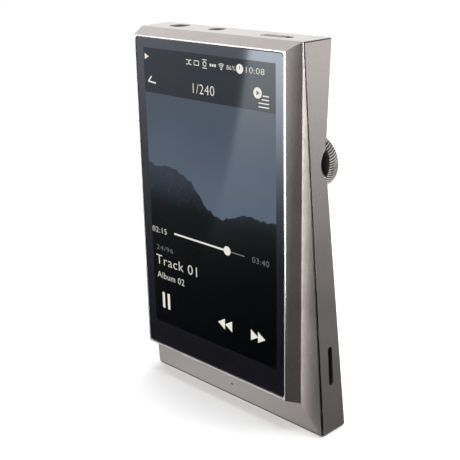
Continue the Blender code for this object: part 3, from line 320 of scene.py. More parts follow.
def woven(name, base, pitch):
    """Twill bands of fibre under a clear lacquer; their colour is darker towards each band's edges, where the
    bands dip, and lighter on the crowns: painted shade and painted sheen.
    """
    def build(nodes, place):
        x, _, z = nodes.parts(place)
        across = x / pitch
        up = z / pitch
        step = across.maths("FLOOR") + up.maths("FLOOR")
        upright = (step % 4.0) > 1.5
        thread_u = (across * 7.0 * FULL_TURN).maths("SINE")
        thread_v = (up * 7.0 * FULL_TURN).maths("SINE")
        curve_u = (across % 1.0 * math.pi).maths("SINE")
        curve_v = (up % 1.0 * math.pi).maths("SINE")
        height = upright * curve_u + (1 - upright) * curve_v
        threads = upright * thread_u + (1 - upright) * thread_v
        # painted shade and sheen: the colour darkens where the bands dip and lightens on their crowns
        tone = nodes.mixed(height * 0.7 + threads * 0.12, opaque(base, 0.25), opaque(base, 1.5))
        return {
            "Base Color": tone,
            "Roughness": 0.42 - height * 0.14,
            "Normal": nodes.bump(height + threads * 0.08, 0.06 * MM),
        }

    constants = {"Metallic": 0.35, "Coat Weight": 1.0, "Coat Roughness": 0.04}
    return material(name, constants, build)


def smooth_step(value, low, high):
    share_across = ((value - low) / (high - low)).clamped()
    return share_across * share_across * (3.0 - share_across * 2.0)


def displayed_picture(name, sky, ridge):
    """The lit part of the display: a dusk sky over two lines of hills, with dark bands for the marks."""
    def build(nodes, place):
        x, _, z = nodes.parts(place)
        x = (x - LIT_CENTRE.x) / MM
        z = (z - LIT_CENTRE.z) / MM
        rough = nodes.noise(place, 5.0 * MM, 6.0, 0.62) - 0.5
        slow = nodes.noise(place, 16.0 * MM, 2.0) - 0.5
        far = 2.9 - ((x + 4.5) / 6.5).maths("TANH") * 6.0 + smooth_step(x, 6.0, 15.0) * 3.2 + rough * 5.0
        near = -5.5 - ((x + 24.0) / 12.0).maths("TANH") * 7.0 + smooth_step(x, 4.0, 30.0) * 6.0 + rough * 6.0
        sky_tone = nodes.mixed(smooth_step(z + slow * 14.0, 32.0, -4.0), opaque(sky, 0.75), opaque(sky, 1.18))
        far_tone = nodes.mixed(smooth_step(z + slow * 6.0, 9.0, -5.0), opaque(ridge, 1.35), opaque(ridge, 0.05))
        streaks = nodes.noise(place, 1.6 * MM, 4.0, 0.7)
        pale = smooth_step(streaks, 0.56, 0.72) * smooth_step(z, -5.0, 3.0) * 0.35
        far_tone = nodes.mixed(pale, far_tone, sky_tone)
        near_tone = nodes.mixed(smooth_step(z, 2.0, -13.0), opaque(ridge, 0.10), opaque(ridge, 0.0))
        tone = nodes.mixed(smooth_step(far - z, 0.0, 0.35), sky_tone, far_tone)
        tone = nodes.mixed(smooth_step(near - z, 0.0, 0.8), tone, near_tone)
        tone = nodes.mixed((-14.2 - z).maths("MULTIPLY", 0.8, clamp=True), tone, opaque(ridge, 0.0))
        tone = nodes.mixed(z > HEADER_BOTTOM, tone, opaque((0.30, 0.36, 0.50), 0.048))
        tone = nodes.mixed(z > STATUS_BOTTOM, tone, opaque((0.30, 0.36, 0.50), 0.042))
        return {"Emission Color": tone}

    constants = {
        "Base Color": (0.0008, 0.001, 0.0013, 1.0), "Roughness": 0.04, "Specular IOR Level": 0.30,
        "Specular Tint": (0.84, 0.93, 1.0, 1.0), "Emission Strength": 1.0,
    }
    return material(name, constants, build)


def border_glass(name, ink):
    """The border of the glass, inked behind and very faintly uneven."""
    def build(nodes, place):
        smear = nodes.noise(place, 9.0 * MM, 2.0)
        return {
            "Base Color": nodes.mixed(smear, opaque(ink, 0.8), opaque(ink, 1.2)),
            "Roughness": smear * 0.03 + 0.03,
        }

    constants = {"Specular IOR Level": 1.0, "Specular Tint": (0.78, 0.88, 1.0, 1.0)}
    return material(name, constants, build)


def lit_mark(name, base, strength):
    def build(nodes, place):
        glow = nodes.noise(place, 1.5 * MM)
        return {"Emission Color": nodes.mixed(glow, opaque(base, 0.94), opaque(base))}

    constants = {
        "Base Color": (0.01, 0.01, 0.01, 1.0), "Roughness": 0.15, "Specular IOR Level": 0.2,
        "Emission Strength": strength,
    }
    return material(name, constants, build)


# ---------------------------------------------------------------- mesh tools

def crisp(bm):
    """Marks the edges to shade as corners: sharp turns, and slight ones between large flat faces."""
    rounded = bm.faces.layers.int.get("rounded")
    for face in bm.faces:
        face.smooth = True
    for edge in bm.edges:
        if len(edge.link_faces) != 2:
            continue
        turn = edge.calc_face_angle(0.0)
        on_rounding = rounded is not None and all(face[rounded] for face in edge.link_faces)
        flat_corner = turn > FLAT_TURN and edge.calc_length() > FLAT_LENGTH and not on_rounding
        edge.smooth = turn < SHARP_TURN and not flat_corner


def finished(bm, name, materials, smooth_angle=None):
    """The mesh as an object at the origin, with its place in its vertices."""
    mesh = bpy.data.meshes.new(name)
    bm.to_mesh(mesh)
    bm.free()
    for each in materials:
        mesh.materials.append(each)
    if smooth_angle is not None:
        mesh.shade_smooth()
        mesh.set_sharp_from_angle(angle=math.radians(smooth_angle))
    obj = bpy.data.objects.new(name, mesh)
    bpy.context.scene.collection.objects.link(obj)
    return obj


def made_plain(obj):
    """The object with its modifiers applied; new_from_object reads the evaluated shape."""
    graph = bpy.context.evaluated_depsgraph_get()
    mesh = bpy.data.meshes.new_from_object(obj.evaluated_get(graph))
    mesh.name = obj.name
    obj.modifiers.clear()
    obj.data = mesh
    return obj


def placed(obj, body, slot, *nodes):
    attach(obj, body)
    if nodes:
        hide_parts(*nodes)
    return obj


def merged_copy(node):
    """A frame node's surface as one joined mesh with flat faces."""
    bm = bmesh.new()
    bm.from_mesh(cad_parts[node].data)
    bmesh.ops.remove_doubles(bm, verts=bm.verts, dist=MERGE_DISTANCE)
    bmesh.ops.dissolve_limit(bm, angle_limit=SAME_PLANE_TURN, verts=bm.verts, edges=bm.edges)
    for face in bm.faces:
        face.material_index = 0
    return bm


def rounded_edges(bm, width, chosen, segments=3, material_index=-1):
    """Rounds the outward edges that chosen(edge) picks."""
    layer = bm.faces.layers.int.get("rounded") or bm.faces.layers.int.new("rounded")
    edges = [edge for edge in bm.edges if len(edge.link_faces) == 2 and chosen(edge)]
    made = bmesh.ops.bevel(
        bm, geom=edges, offset=width, offset_type="OFFSET", segments=segments, profile=0.5,
        affect="EDGES", clamp_overlap=False, material=material_index,
    )
    for face in made["faces"]:
        face[layer] = 1


def is_corner(edge, least_turn, least_length):
    """True for an outward edge that turns by at least so many degrees and is so long."""
    return edge.calc_length() > least_length and edge.calc_face_angle_signed(0.0) > math.radians(least_turn)


def add_prism(bm, outline, low, high, material_index=0):
    """A closed prism between two levels of Y; outline holds (x, z) pairs, counter-clockwise from the front."""
    front = [bm.verts.new((x, low, z)) for x, z in outline]
    rear = [bm.verts.new((x, high, z)) for x, z in outline]
    faces = [bm.faces.new(front), bm.faces.new(rear[::-1])]
    for i in range(len(outline)):
        j = (i + 1) % len(outline)
        faces.append(bm.faces.new((front[j], front[i], rear[i], rear[j])))
    for face in faces:
        face.material_index = material_index


def add_turned(bm, profile, centre, segments, material_index=0):
    """A profile of (radius, y) pairs turned about the line along Y through centre."""
    rings = []
    for radius, y in profile:
        if radius == 0.0:
            rings.append([bm.verts.new((centre.x, y, centre.z))])
            continue
        ring = []
        for step in range(segments):
            angle = FULL_TURN * step / segments
            x = centre.x + radius * math.cos(angle)
            ring.append(bm.verts.new((x, y, centre.z + radius * math.sin(angle))))
        rings.append(ring)
    pairs = list(zip(rings, rings[1:]))
    if len(rings[0]) > 1:
        pairs.append((rings[-1], rings[0]))
    made = []
    for first, second in pairs:
        for i in range(segments):
            j = (i + 1) % segments
            corners = [ring[k % len(ring)] for ring, k in ((first, i), (first, j), (second, j), (second, i))]
            made.append(bm.faces.new(list(dict.fromkeys(corners))))
    for face in made:
        face.material_index = material_index


def stood_up(bm, centre=ORIGIN):
    """Turns a shape made about the line along Y so that it stands along Z, at a place in X and Y."""
    bm.transform(Matrix(((1, 0, 0, centre.x), (0, 0, -1, centre.y), (0, 1, 0, 0), (0, 0, 0, 1))))
    bmesh.ops.recalc_face_normals(bm, faces=bm.faces)


def circle(centre, radius, count=28, start=0.0, sweep=FULL_TURN):
    steps = count if sweep == FULL_TURN else count + 1
    return [
        (centre[0] + radius * math.cos(start + sweep * i / count),
         centre[1] + radius * math.sin(start + sweep * i / count))
        for i in range(steps)
    ]


def rounded_rectangle(low, high, radius, steps=8):
    outline = []
    corners = ((high[0], high[1]), (low[0], high[1]), (low[0], low[1]), (high[0], low[1]))
    for quarter, (x, z) in enumerate(corners):
        inward = (-1 if x == high[0] else 1, -1 if z == high[1] else 1)
        centre = (x + inward[0] * radius, z + inward[1] * radius)
        outline += circle(centre, radius, steps, quarter * FULL_TURN / 4, FULL_TURN / 4)
    return outline


# ---------------------------------------------------------------- repeats made with Geometry Nodes

def node_group(name, sockets):
    tree = bpy.data.node_groups.new(name, "GeometryNodeTree")
    tree.interface.new_socket("Geometry", in_out="INPUT", socket_type="NodeSocketGeometry")
    for label, kind in sockets:
        tree.interface.new_socket(label, in_out="INPUT", socket_type=kind)
    tree.interface.new_socket("Geometry", in_out="OUTPUT", socket_type="NodeSocketGeometry")
    nodes = Nodes(tree)
    entry = tree.nodes.new("NodeGroupInput")
    given = {socket.name: Socket(nodes, socket) for socket in entry.outputs if socket.name}
    return nodes, given


def end_group(nodes, shape, finish):
    solid = nodes.add("GeometryNodeRealizeInstances", inputs={"Geometry": shape})
    painted = nodes.add("GeometryNodeSetMaterial", inputs={"Geometry": solid, "Material": finish})
    result = nodes.tree.nodes.new("NodeGroupOutput")
    nodes.feed(result.inputs["Geometry"], painted)
    return nodes.tree


def ring_tree():
    """Copies of the given shape turned evenly round an axis along Y, then moved to a centre."""
    nodes, given = node_group("ring_of_copies", (
        ("Count", "NodeSocketInt"), ("Centre", "NodeSocketVector"), ("Material", "NodeSocketMaterial"),
    ))
    points = nodes.add("GeometryNodePoints", inputs={"Count": given["Count"]})
    index = nodes.add("GeometryNodeInputIndex")
    angle = index * FULL_TURN / given["Count"]
    turn = nodes.add("ShaderNodeCombineXYZ", inputs={"Y": angle})
    copies = nodes.add("GeometryNodeInstanceOnPoints", inputs={
        "Points": points, "Instance": given["Geometry"], "Rotation": turn,
    })
    moved = nodes.add("GeometryNodeTransform", inputs={"Geometry": copies, "Translation": given["Centre"]})
    return end_group(nodes, moved, given["Material"])


def row_tree():
    """Copies of the given shape set in a straight row."""
    nodes, given = node_group("row_of_copies", (
        ("Count", "NodeSocketInt"), ("Start", "NodeSocketVector"), ("Step", "NodeSocketVector"),
        ("Material", "NodeSocketMaterial"),
    ))
    line = nodes.add("GeometryNodeMeshLine", {"mode": "OFFSET"}, {
        "Count": given["Count"], "Start Location": given["Start"], "Offset": given["Step"],
    })
    copies = nodes.add("GeometryNodeInstanceOnPoints", inputs={"Points": line, "Instance": given["Geometry"]})
    return end_group(nodes, copies, given["Material"])


def repeated(obj, tree, values, smooth_angle=35):
    """Runs the tree on the object and leaves a plain mesh."""
    step = obj.modifiers.new("repeat", "NODES")
    step.node_group = tree
    for item in tree.interface.items_tree:
        if item.in_out == "INPUT" and item.name in values:
            step[item.identifier] = values[item.name]
    made_plain(obj)
    obj.data.shade_smooth()
    obj.data.set_sharp_from_angle(angle=math.radians(smooth_angle))
    return obj


# ---------------------------------------------------------------- marks on the display

HEADER_BOTTOM = 30.4       # heights above the display's middle, in millimetres
STATUS_BOTTOM = 38.2


class Marks:
    """Flat lit marks on the glass, placed in millimetres from the display's middle."""

    def __init__(self, height):
        self.bm = bmesh.new()
        self.low = GLASS_LOW.y - height
        self.high = GLASS_LOW.y + height

    def shape(self, points, tone=0, lift=0.0):
        outline = [(LIT_CENTRE.x + x * MM, LIT_CENTRE.z + z * MM) for x, z in points]
        add_prism(self.bm, outline, self.low - lift * MM, self.high, tone)

    def box(self, x, z, width, height, tone=0):
        self.shape(((x, z), (x + width, z), (x + width, z + height), (x, z + height)), tone)

    def stroke(self, points, width, tone=0, lift=0.0):
        """A line of short bars, each running half a width past its ends."""
        for (x1, z1), (x2, z2) in zip(points, points[1:]):
            along = Vector((x2 - x1, z2 - z1)).normalized() * width / 2
            side = Vector((-along.y, along.x))
            start = Vector((x1, z1)) - along * 0.5
            end = Vector((x2, z2)) + along * 0.5
            self.shape([tuple(p) for p in (start - side, end - side, end + side, start + side)], tone, lift)

    def text(self, words, x, z, width, height, tone=0):
        """Words whose capitals start at (x, z) and fill that width and height."""
        curve = bpy.data.curves.new("words", "FONT")
        curve.body = words
        curve.resolution_u = 3
        curve.extrude = 1.0
        curve.space_character = 1.06
        curve.offset = -0.014
        holder = bpy.data.objects.new("words", curve)
        bpy.context.scene.collection.objects.link(holder)
        graph = bpy.context.evaluated_depsgraph_get()
        mesh = bpy.data.meshes.new_from_object(holder.evaluated_get(graph))
        bpy.data.objects.remove(holder)
        low = Vector(map(min, zip(*(v.co for v in mesh.vertices))))
        high = Vector(map(max, zip(*(v.co for v in mesh.vertices))))
        depth = self.high - self.low
        grow = Vector((width * MM / (high.x - low.x), height * MM / (high.y - low.y), depth / 2))
        for vertex in mesh.vertices:
            flat = vertex.co
            vertex.co = (
                LIT_CENTRE.x + x * MM + (flat.x - low.x) * grow.x,
                (self.low + self.high) / 2 - flat.z * grow.z,
                LIT_CENTRE.z + z * MM + (flat.y - low.y) * grow.y,
            )
        first = len(self.bm.faces)
        self.bm.from_mesh(mesh)
        self.bm.faces.ensure_lookup_table()
        for face in self.bm.faces[first:]:
            face.material_index = tone
        bpy.data.meshes.remove(mesh)


def draw_status_row(marks):
    marks.shape([(-25.65, 40.1), (-23.85, 40.95), (-25.65, 41.8)])
    marks.stroke([(-7.7, 40.3), (-6.9, 40.3), (-6.3, 41.5), (-5.6, 41.5)], 0.2)
    marks.stroke([(-7.7, 41.5), (-6.9, 41.5), (-6.3, 40.3), (-5.6, 40.3)], 0.2)
    marks.stroke([(-4.5, 41.5), (-2.6, 41.5), (-2.6, 40.3), (-4.5, 40.3), (-4.5, 41.2)], 0.2)
    marks.stroke([(-1.1, 42.1), (0.6, 42.1)], 0.2)
    marks.stroke([(-1.1, 39.8), (0.6, 39.8)], 0.2)
    marks.stroke(circle((-0.25, 40.95), 0.62, 12), 0.24)
    for x in (2.1, 3.0, 3.9):
        marks.box(x - 0.28, 40.5, 0.56, 0.7)
    for radius in (0.5, 1.0, 1.5):
        marks.stroke(circle((6.3, 40.1), radius, 8, math.radians(50), math.radians(80)), 0.2)
    marks.shape(circle((6.3, 40.1), 0.24, 10))
    marks.text("86%", 8.3, 40.25, 3.3, 1.2)
    marks.shape(circle((13.25, 40.9), 1.3))
    marks.stroke([(13.25, 41.7), (13.25, 40.9)], 0.3, 2, 0.008)
    marks.text("10:08", 15.6, 40.1, 6.6, 1.6)


def draw_header(marks):
    marks.stroke([(-23.1, 35.2), (-24.5, 33.7), (-21.3, 33.4)], 0.42)
    marks.text("1/240", -5.3, 32.35, 8.6, 2.75)
    marks.shape(circle((19.7, 35.2), 1.5))
    marks.shape([(19.3, 34.5), (20.5, 35.2), (19.3, 35.9)], 2, 0.008)
    for x, z in ((21.6, 34.6), (21.3, 33.6), (20.1, 32.6), (20.1, 31.6)):
        marks.stroke([(x, z), (23.7, z)], 0.30)


def draw_player_controls(marks):
    marks.text("02:15", -25.9, -13.3, 6.6, 1.75)
    marks.stroke([(-15.7, -12.1), (7.0, -12.1)], 0.55)
    marks.stroke([(8.0, -12.1), (13.9, -12.1)], 0.3, 1)
    marks.shape(circle((7.0, -12.1), 1.4))
    marks.text("03:40", 17.0, -13.1, 6.4, 1.75, 1)
    marks.text("24/96", -24.3, -18.9, 7.6, 1.5, 1)
    marks.text("Track 01", -24.8, -23.8, 18.6, 3.1)
    marks.text("Album 02", -24.5, -28.4, 12.4, 2.1)
    for x in (-22.6, -20.2):
        marks.box(x, -38.4, 1.05, 5.3)
    for x, way in ((2.5, 1), (5.5, 1), (19.0, -1), (21.8, -1)):
        marks.shape([(x, -35.75), (x + way * 2.9, -37.5), (x + way * 2.9, -34.0)][::way])


# ---------------------------------------------------------------- operators

class BuildOperator:
    bl_options = {"REGISTER", "UNDO"}

    def execute(self, context):
        self.build(context.scene.player_sizes, context.scene.player_colours)
        return {"FINISHED"}


FINISHES = {}


def finish(name):
    """A material made by the first operator."""
    return FINISHES[name]


class PLAYER_OT_finishes(BuildOperator, bpy.types.Operator):
    """Make every material and give one to each frame node"""

    bl_idname = "player.finishes"
    bl_label = "Materials"

    def build(self, sizes, colours):
        FINISHES.update({
            "blasted_metal": blasted("body_metal", colours.body, colours.blast, sizes.grain),
            "side_metal": blasted("side_metal", colours.side, colours.blast, sizes.grain),
            "polished_edge": polished("polished_edge", colours.edge, 0.18),
            "rim_face": polished("rim_face", colours.rim, 0.42),
            "wheel_metal": turned_metal("wheel_metal", colours.wheel, WHEEL_CENTRE, 0.30 * MM),
            "steel": polished("socket_steel", colours.steel, 0.32),
            # painted shade: the collars are coloured dark for the shade of the sockets' recesses
            "dark_steel": polished("painted_shade_collar", colours.collar, 0.22),
            "contact_gold": polished("contact_gold", colours.gold, 0.25),
            "cover_glass": border_glass("border_glass", colours.ink),
            "display": displayed_picture("displayed_picture", colours.sky, colours.ridge),
            "bright_mark": lit_mark("bright_mark", colours.marks, 1.0),
            "dim_mark": lit_mark("dim_mark", colours.dim_marks, 1.0),
            "dark_mark": moulded("dark_mark", (0.02, 0.02, 0.022), 0.3),
            "rear_inlay": woven("woven_back", colours.weave, sizes.weave_pitch),
            "black_plastic": moulded("black_plastic", (0.018, 0.018, 0.019), 0.42),
            "gasket": moulded("gasket_rubber", (0.025, 0.025, 0.025), 0.75),
            "circuit_board": circuit("circuit_board", (0.012, 0.070, 0.045)),
            "flex_film": moulded("flex_film", (0.42, 0.20, 0.045), 0.35),
            "battery_pouch": moulded("battery_pouch", (0.55, 0.56, 0.58), 0.45, 1.2 * MM, 0.6),
            "light_lens": moulded("light_lens", (0.03, 0.03, 0.033), 0.16),
            # near-black matte plastic, used as painted shade: in the gaps of the top face and on the parts deep
            # in the openings
            "painted_shade_black": moulded("painted_shade_black", (0.003, 0.003, 0.003), 0.85),
        })
        for node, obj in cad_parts.items():
            paint(node, obj.data.materials[0].name)
        # painted shade: the parts inside the card slot, the audio sockets and the light's hole get a near-black
        # matte finish, darker than their own dark colour, for the shade inside these openings
        for node in ("card_socket", "headphone_jack", "balanced_jack", "status_light"):
            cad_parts[node].data.materials[0] = finish("painted_shade_black")


def paint(node, slot):
    """Puts on a frame node the finish named by slot."""
    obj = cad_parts[node]
    obj.data.materials.clear()
    obj.data.materials.append(finish(slot))


def rounded_copy(node, name, body, slot, width, least_turn, least_length, segments=3):
    """A frame node's shape with its outward edges rounded, standing for the node."""
    bm = merged_copy(node)
    rounded_edges(bm, width, lambda edge: is_corner(edge, least_turn, least_length), segments)
    crisp(bm)
    placed(finished(bm, name, [finish(slot)]), body, slot, node)


class PLAYER_OT_housing(BuildOperator, bpy.types.Operator):
    """Build the front housing with its polished rim, and the plate under it"""

    bl_idname = "player.housing"
    bl_label = "Housing"

    def build(self, sizes, colours):
        bm = merged_copy("front_housing")
        on_front = lambda edge: all(abs(v.co.y - FRONT) < 0.01 * MM for v in edge.verts)
        rounded_edges(bm, sizes.rim_chamfer, lambda e: on_front(e) and is_corner(e, 20, 5 * MM), 2, 1)
        behind_front = lambda edge: edge.verts[0].co.y > FRONT + 0.3 * MM
        rounded_edges(bm, sizes.body_edge, lambda e: is_corner(e, 24, LONG_EDGE) and behind_front(e))
        for face in bm.faces:
            if face.normal.y < -0.99 and abs(face.calc_center_median().y - FRONT) < 0.01 * MM:
                face.material_index = 2
        crisp(bm)
        materials = [finish("blasted_metal"), finish("polished_edge"), finish("rim_face")]
        housing = finished(bm, "metal_housing", materials)
        placed(housing, "player", "blasted_metal", "front_housing")
        rounded_copy("bottom_plate", "base_cover", "player", "blasted_metal", sizes.body_edge / 2, 40, 3 * MM, 2)


class PLAYER_OT_side(BuildOperator, bpy.types.Operator):
    """Build the leaning side panel"""

    bl_idname = "player.side"
    bl_label = "Side panel"

    def build(self, sizes, colours):
        rounded_copy("right_side_panel", "leaning_side", "player", "side_metal", sizes.body_edge, 24, LONG_EDGE)


class PLAYER_OT_back(BuildOperator, bpy.types.Operator):
    """Build the rear cover and its woven inlay"""

    bl_idname = "player.back"
    bl_label = "Back"

    def build(self, sizes, colours):
        rounded_copy("rear_cover", "metal_back", "player", "blasted_metal", sizes.body_edge, 24, LONG_EDGE)
        rounded_copy("rear_inlay", "woven_inlay", "player", "rear_inlay", sizes.body_edge, 30, 3 * MM)


class PLAYER_OT_screen(BuildOperator, bpy.types.Operator):
    """Build the glass with its lit picture, and the marks on it"""

    bl_idname = "player.screen"
    bl_label = "Screen"

    def build(self, sizes, colours):
        edge = sizes.glass_edge
        low = (GLASS_LOW.x, GLASS_LOW.z)
        high = (GLASS_HIGH.x, GLASS_HIGH.z)
        bm = bmesh.new()
        loops = []
        for inset, y in ((0.0, GLASS_HIGH.y), (0.0, GLASS_LOW.y + edge), (0.3 * edge, GLASS_LOW.y + 0.3 * edge),
                         (edge, GLASS_LOW.y)):
            outline = rounded_rectangle(
                (low[0] + inset, low[1] + inset), (high[0] - inset, high[1] - inset), GLASS_CORNER - inset)
            loops.append([bm.verts.new((x, y, z)) for x, z in outline])
        bm.faces.new(loops[0][::-1])
        count = len(loops[0])
        for outer, inner in zip(loops, loops[1:]):
            for i in range(count):
                j = (i + 1) % count
                bm.faces.new((outer[i], outer[j], inner[j], inner[i]))
        lit = [
            bm.verts.new((LIT_CENTRE.x + x * LIT_HALF_WIDTH, GLASS_LOW.y, LIT_CENTRE.z + z * LIT_HALF_HEIGHT))
            for x, z in ((1, 1), (-1, 1), (-1, -1), (1, -1))
        ]
        picture = bm.faces.new(lit)
        rim = loops[-1]
        quarter = count // 4
        middle = quarter // 2
        for side in range(4):
            after = (side + 1) % 4
            start = side * quarter + middle
            ring = [rim[(start + i) % count] for i in range(quarter + 1)]
            bm.faces.new([*ring, lit[after], lit[side]])
        bmesh.ops.recalc_face_normals(bm, faces=bm.faces)
        picture.material_index = 1
        glass = finished(bm, "front_glass", [finish("cover_glass"), finish("display")], 15)
        placed(glass, "player", "cover_glass", "screen_glass")
        marks = Marks(sizes.mark_height)
        draw_status_row(marks)
        draw_header(marks)
        draw_player_controls(marks)
        bmesh.ops.recalc_face_normals(marks.bm, faces=marks.bm.faces)
        tones = [finish("bright_mark"), finish("dim_mark"), finish("dark_mark")]
        placed(finished(marks.bm, "display_marks", tones), "player", "display")


class PLAYER_OT_wheel(BuildOperator, bpy.types.Operator):
    """Build the volume wheel: a turned core, slanted ridges round it and a ringed cap"""

    bl_idname = "player.wheel"
    bl_label = "Volume wheel"

    def build(self, sizes, colours):
        radius = (WHEEL_HIGH.x - WHEEL_LOW.x) / 2
        root = radius - sizes.tooth_depth
        front = WHEEL_LOW.y
        rear = WHEEL_HIGH.y
        cap_radius = (CAP_HIGH.x - CAP_LOW.x) / 2
        bore = 1.6 * MM
        recess = cap_radius + 0.15 * MM
        floor = CAP_LOW.y - 0.15 * MM
        bevel = WHEEL_FRONT_BEVEL
        bm = bmesh.new()
        add_turned(bm, [
            (bore, front + 0.25 * MM), (root - bevel - 1.2 * MM, front + 0.25 * MM),
            (root - bevel - 0.9 * MM, front), (root - bevel, front), (root, front + bevel),
            (root, rear - WHEEL_REAR_BEVEL), (root - WHEEL_REAR_BEVEL, rear),
            (recess + 0.1 * MM, rear), (recess, rear - 0.1 * MM), (recess, floor), (bore, floor),
        ], WHEEL_CENTRE, 96)
        bmesh.ops.recalc_face_normals(bm, faces=bm.faces)
        # painted shade: the core's faces in front of its rear face, the front and the floor between the ridges,
        # are painted black for the shade of the pocket and of the grooves
        for face in bm.faces:
            if face.calc_center_median().y < rear - 0.2 * MM:
                face.material_index = 1
        core = finished(bm, "wheel_core", [finish("wheel_metal"), finish("black_plastic")], 35)
        placed(core, "volume", "wheel_metal", "volume_wheel")
        teeth = finished(tooth(sizes, radius, front, rear), "wheel_ridges", [finish("wheel_metal")])
        repeated(teeth, ring_tree(), {
            "Count": sizes.tooth_count, "Centre": WHEEL_CENTRE, "Material": finish("wheel_metal"),
        }, 12)
        placed(teeth, "volume", "wheel_metal")
        bm = bmesh.new()
        rings = [(0.0, CAP_HIGH.y - 0.08 * MM), (0.45 * MM, CAP_HIGH.y - 0.08 * MM), (0.55 * MM, CAP_HIGH.y)]
        for groove in (0.62, 0.86):
            at = cap_radius * groove
            rings += [(at - 0.10 * MM, CAP_HIGH.y), (at - 0.04 * MM, CAP_HIGH.y - 0.06 * MM),
                      (at + 0.04 * MM, CAP_HIGH.y - 0.06 * MM), (at + 0.10 * MM, CAP_HIGH.y)]
        rings += [(cap_radius - 0.12 * MM, CAP_HIGH.y), (cap_radius, CAP_HIGH.y - 0.12 * MM),
                  (cap_radius, CAP_LOW.y), (0.0, CAP_LOW.y)]
        add_turned(bm, rings, WHEEL_CENTRE, 96)
        bmesh.ops.recalc_face_normals(bm, faces=bm.faces)
        cap = finished(bm, "ringed_cap", [finish("wheel_metal")], 25)
        placed(cap, "volume", "wheel_metal", "wheel_cap")


def tooth(sizes, radius, front, rear):
    """One slanted ridge, on the wheel's axis at the origin, from the front bevel to the rear one."""
    half_pitch = math.pi / sizes.tooth_count
    turn = sizes.tooth_rise / radius
    middle = (front + rear) / 2
    steps = 10
    bm = bmesh.new()
    rows = []
    for step in range(steps + 1):
        along = step / steps
        y = front + (rear - front) * along
        crest = radius - max(0.0, WHEEL_FRONT_BEVEL - (y - front)) - max(0.0, WHEEL_REAR_BEVEL - (rear - y))
        angle = turn * (along - 0.5)
        row = []
        foot = crest - 1.3 * sizes.tooth_depth
        for offset, height in ((-0.62, foot), (-0.18, crest), (0.18, crest), (0.62, foot)):
            at = angle + offset * half_pitch
            row.append(bm.verts.new((height * math.cos(at), y - middle, height * math.sin(at))))
        rows.append(row)
    width = len(rows[0])
    for first, second in zip(rows, rows[1:]):
        for i in range(width):
            j = (i + 1) % width
            bm.faces.new((first[i], first[j], second[j], second[i]))
    bm.faces.new(rows[0])
    bm.faces.new(rows[-1][::-1])
    bmesh.ops.recalc_face_normals(bm, faces=bm.faces)
    return bm


class PLAYER_OT_keys(BuildOperator, bpy.types.Operator):
    """Build the four buttons with rounded edges"""

    bl_idname = "player.keys"
    bl_label = "Buttons"

    def build(self, sizes, colours):
        for node, body in (("power_button", "power_key"), ("next_button", "next_key"),
                           ("play_button", "play_key"), ("previous_button", "previous_key")):
            name = node.replace("button", "cap")
            rounded_copy(node, name, body, "blasted_metal", sizes.key_edge, 50, 0.0, 2)


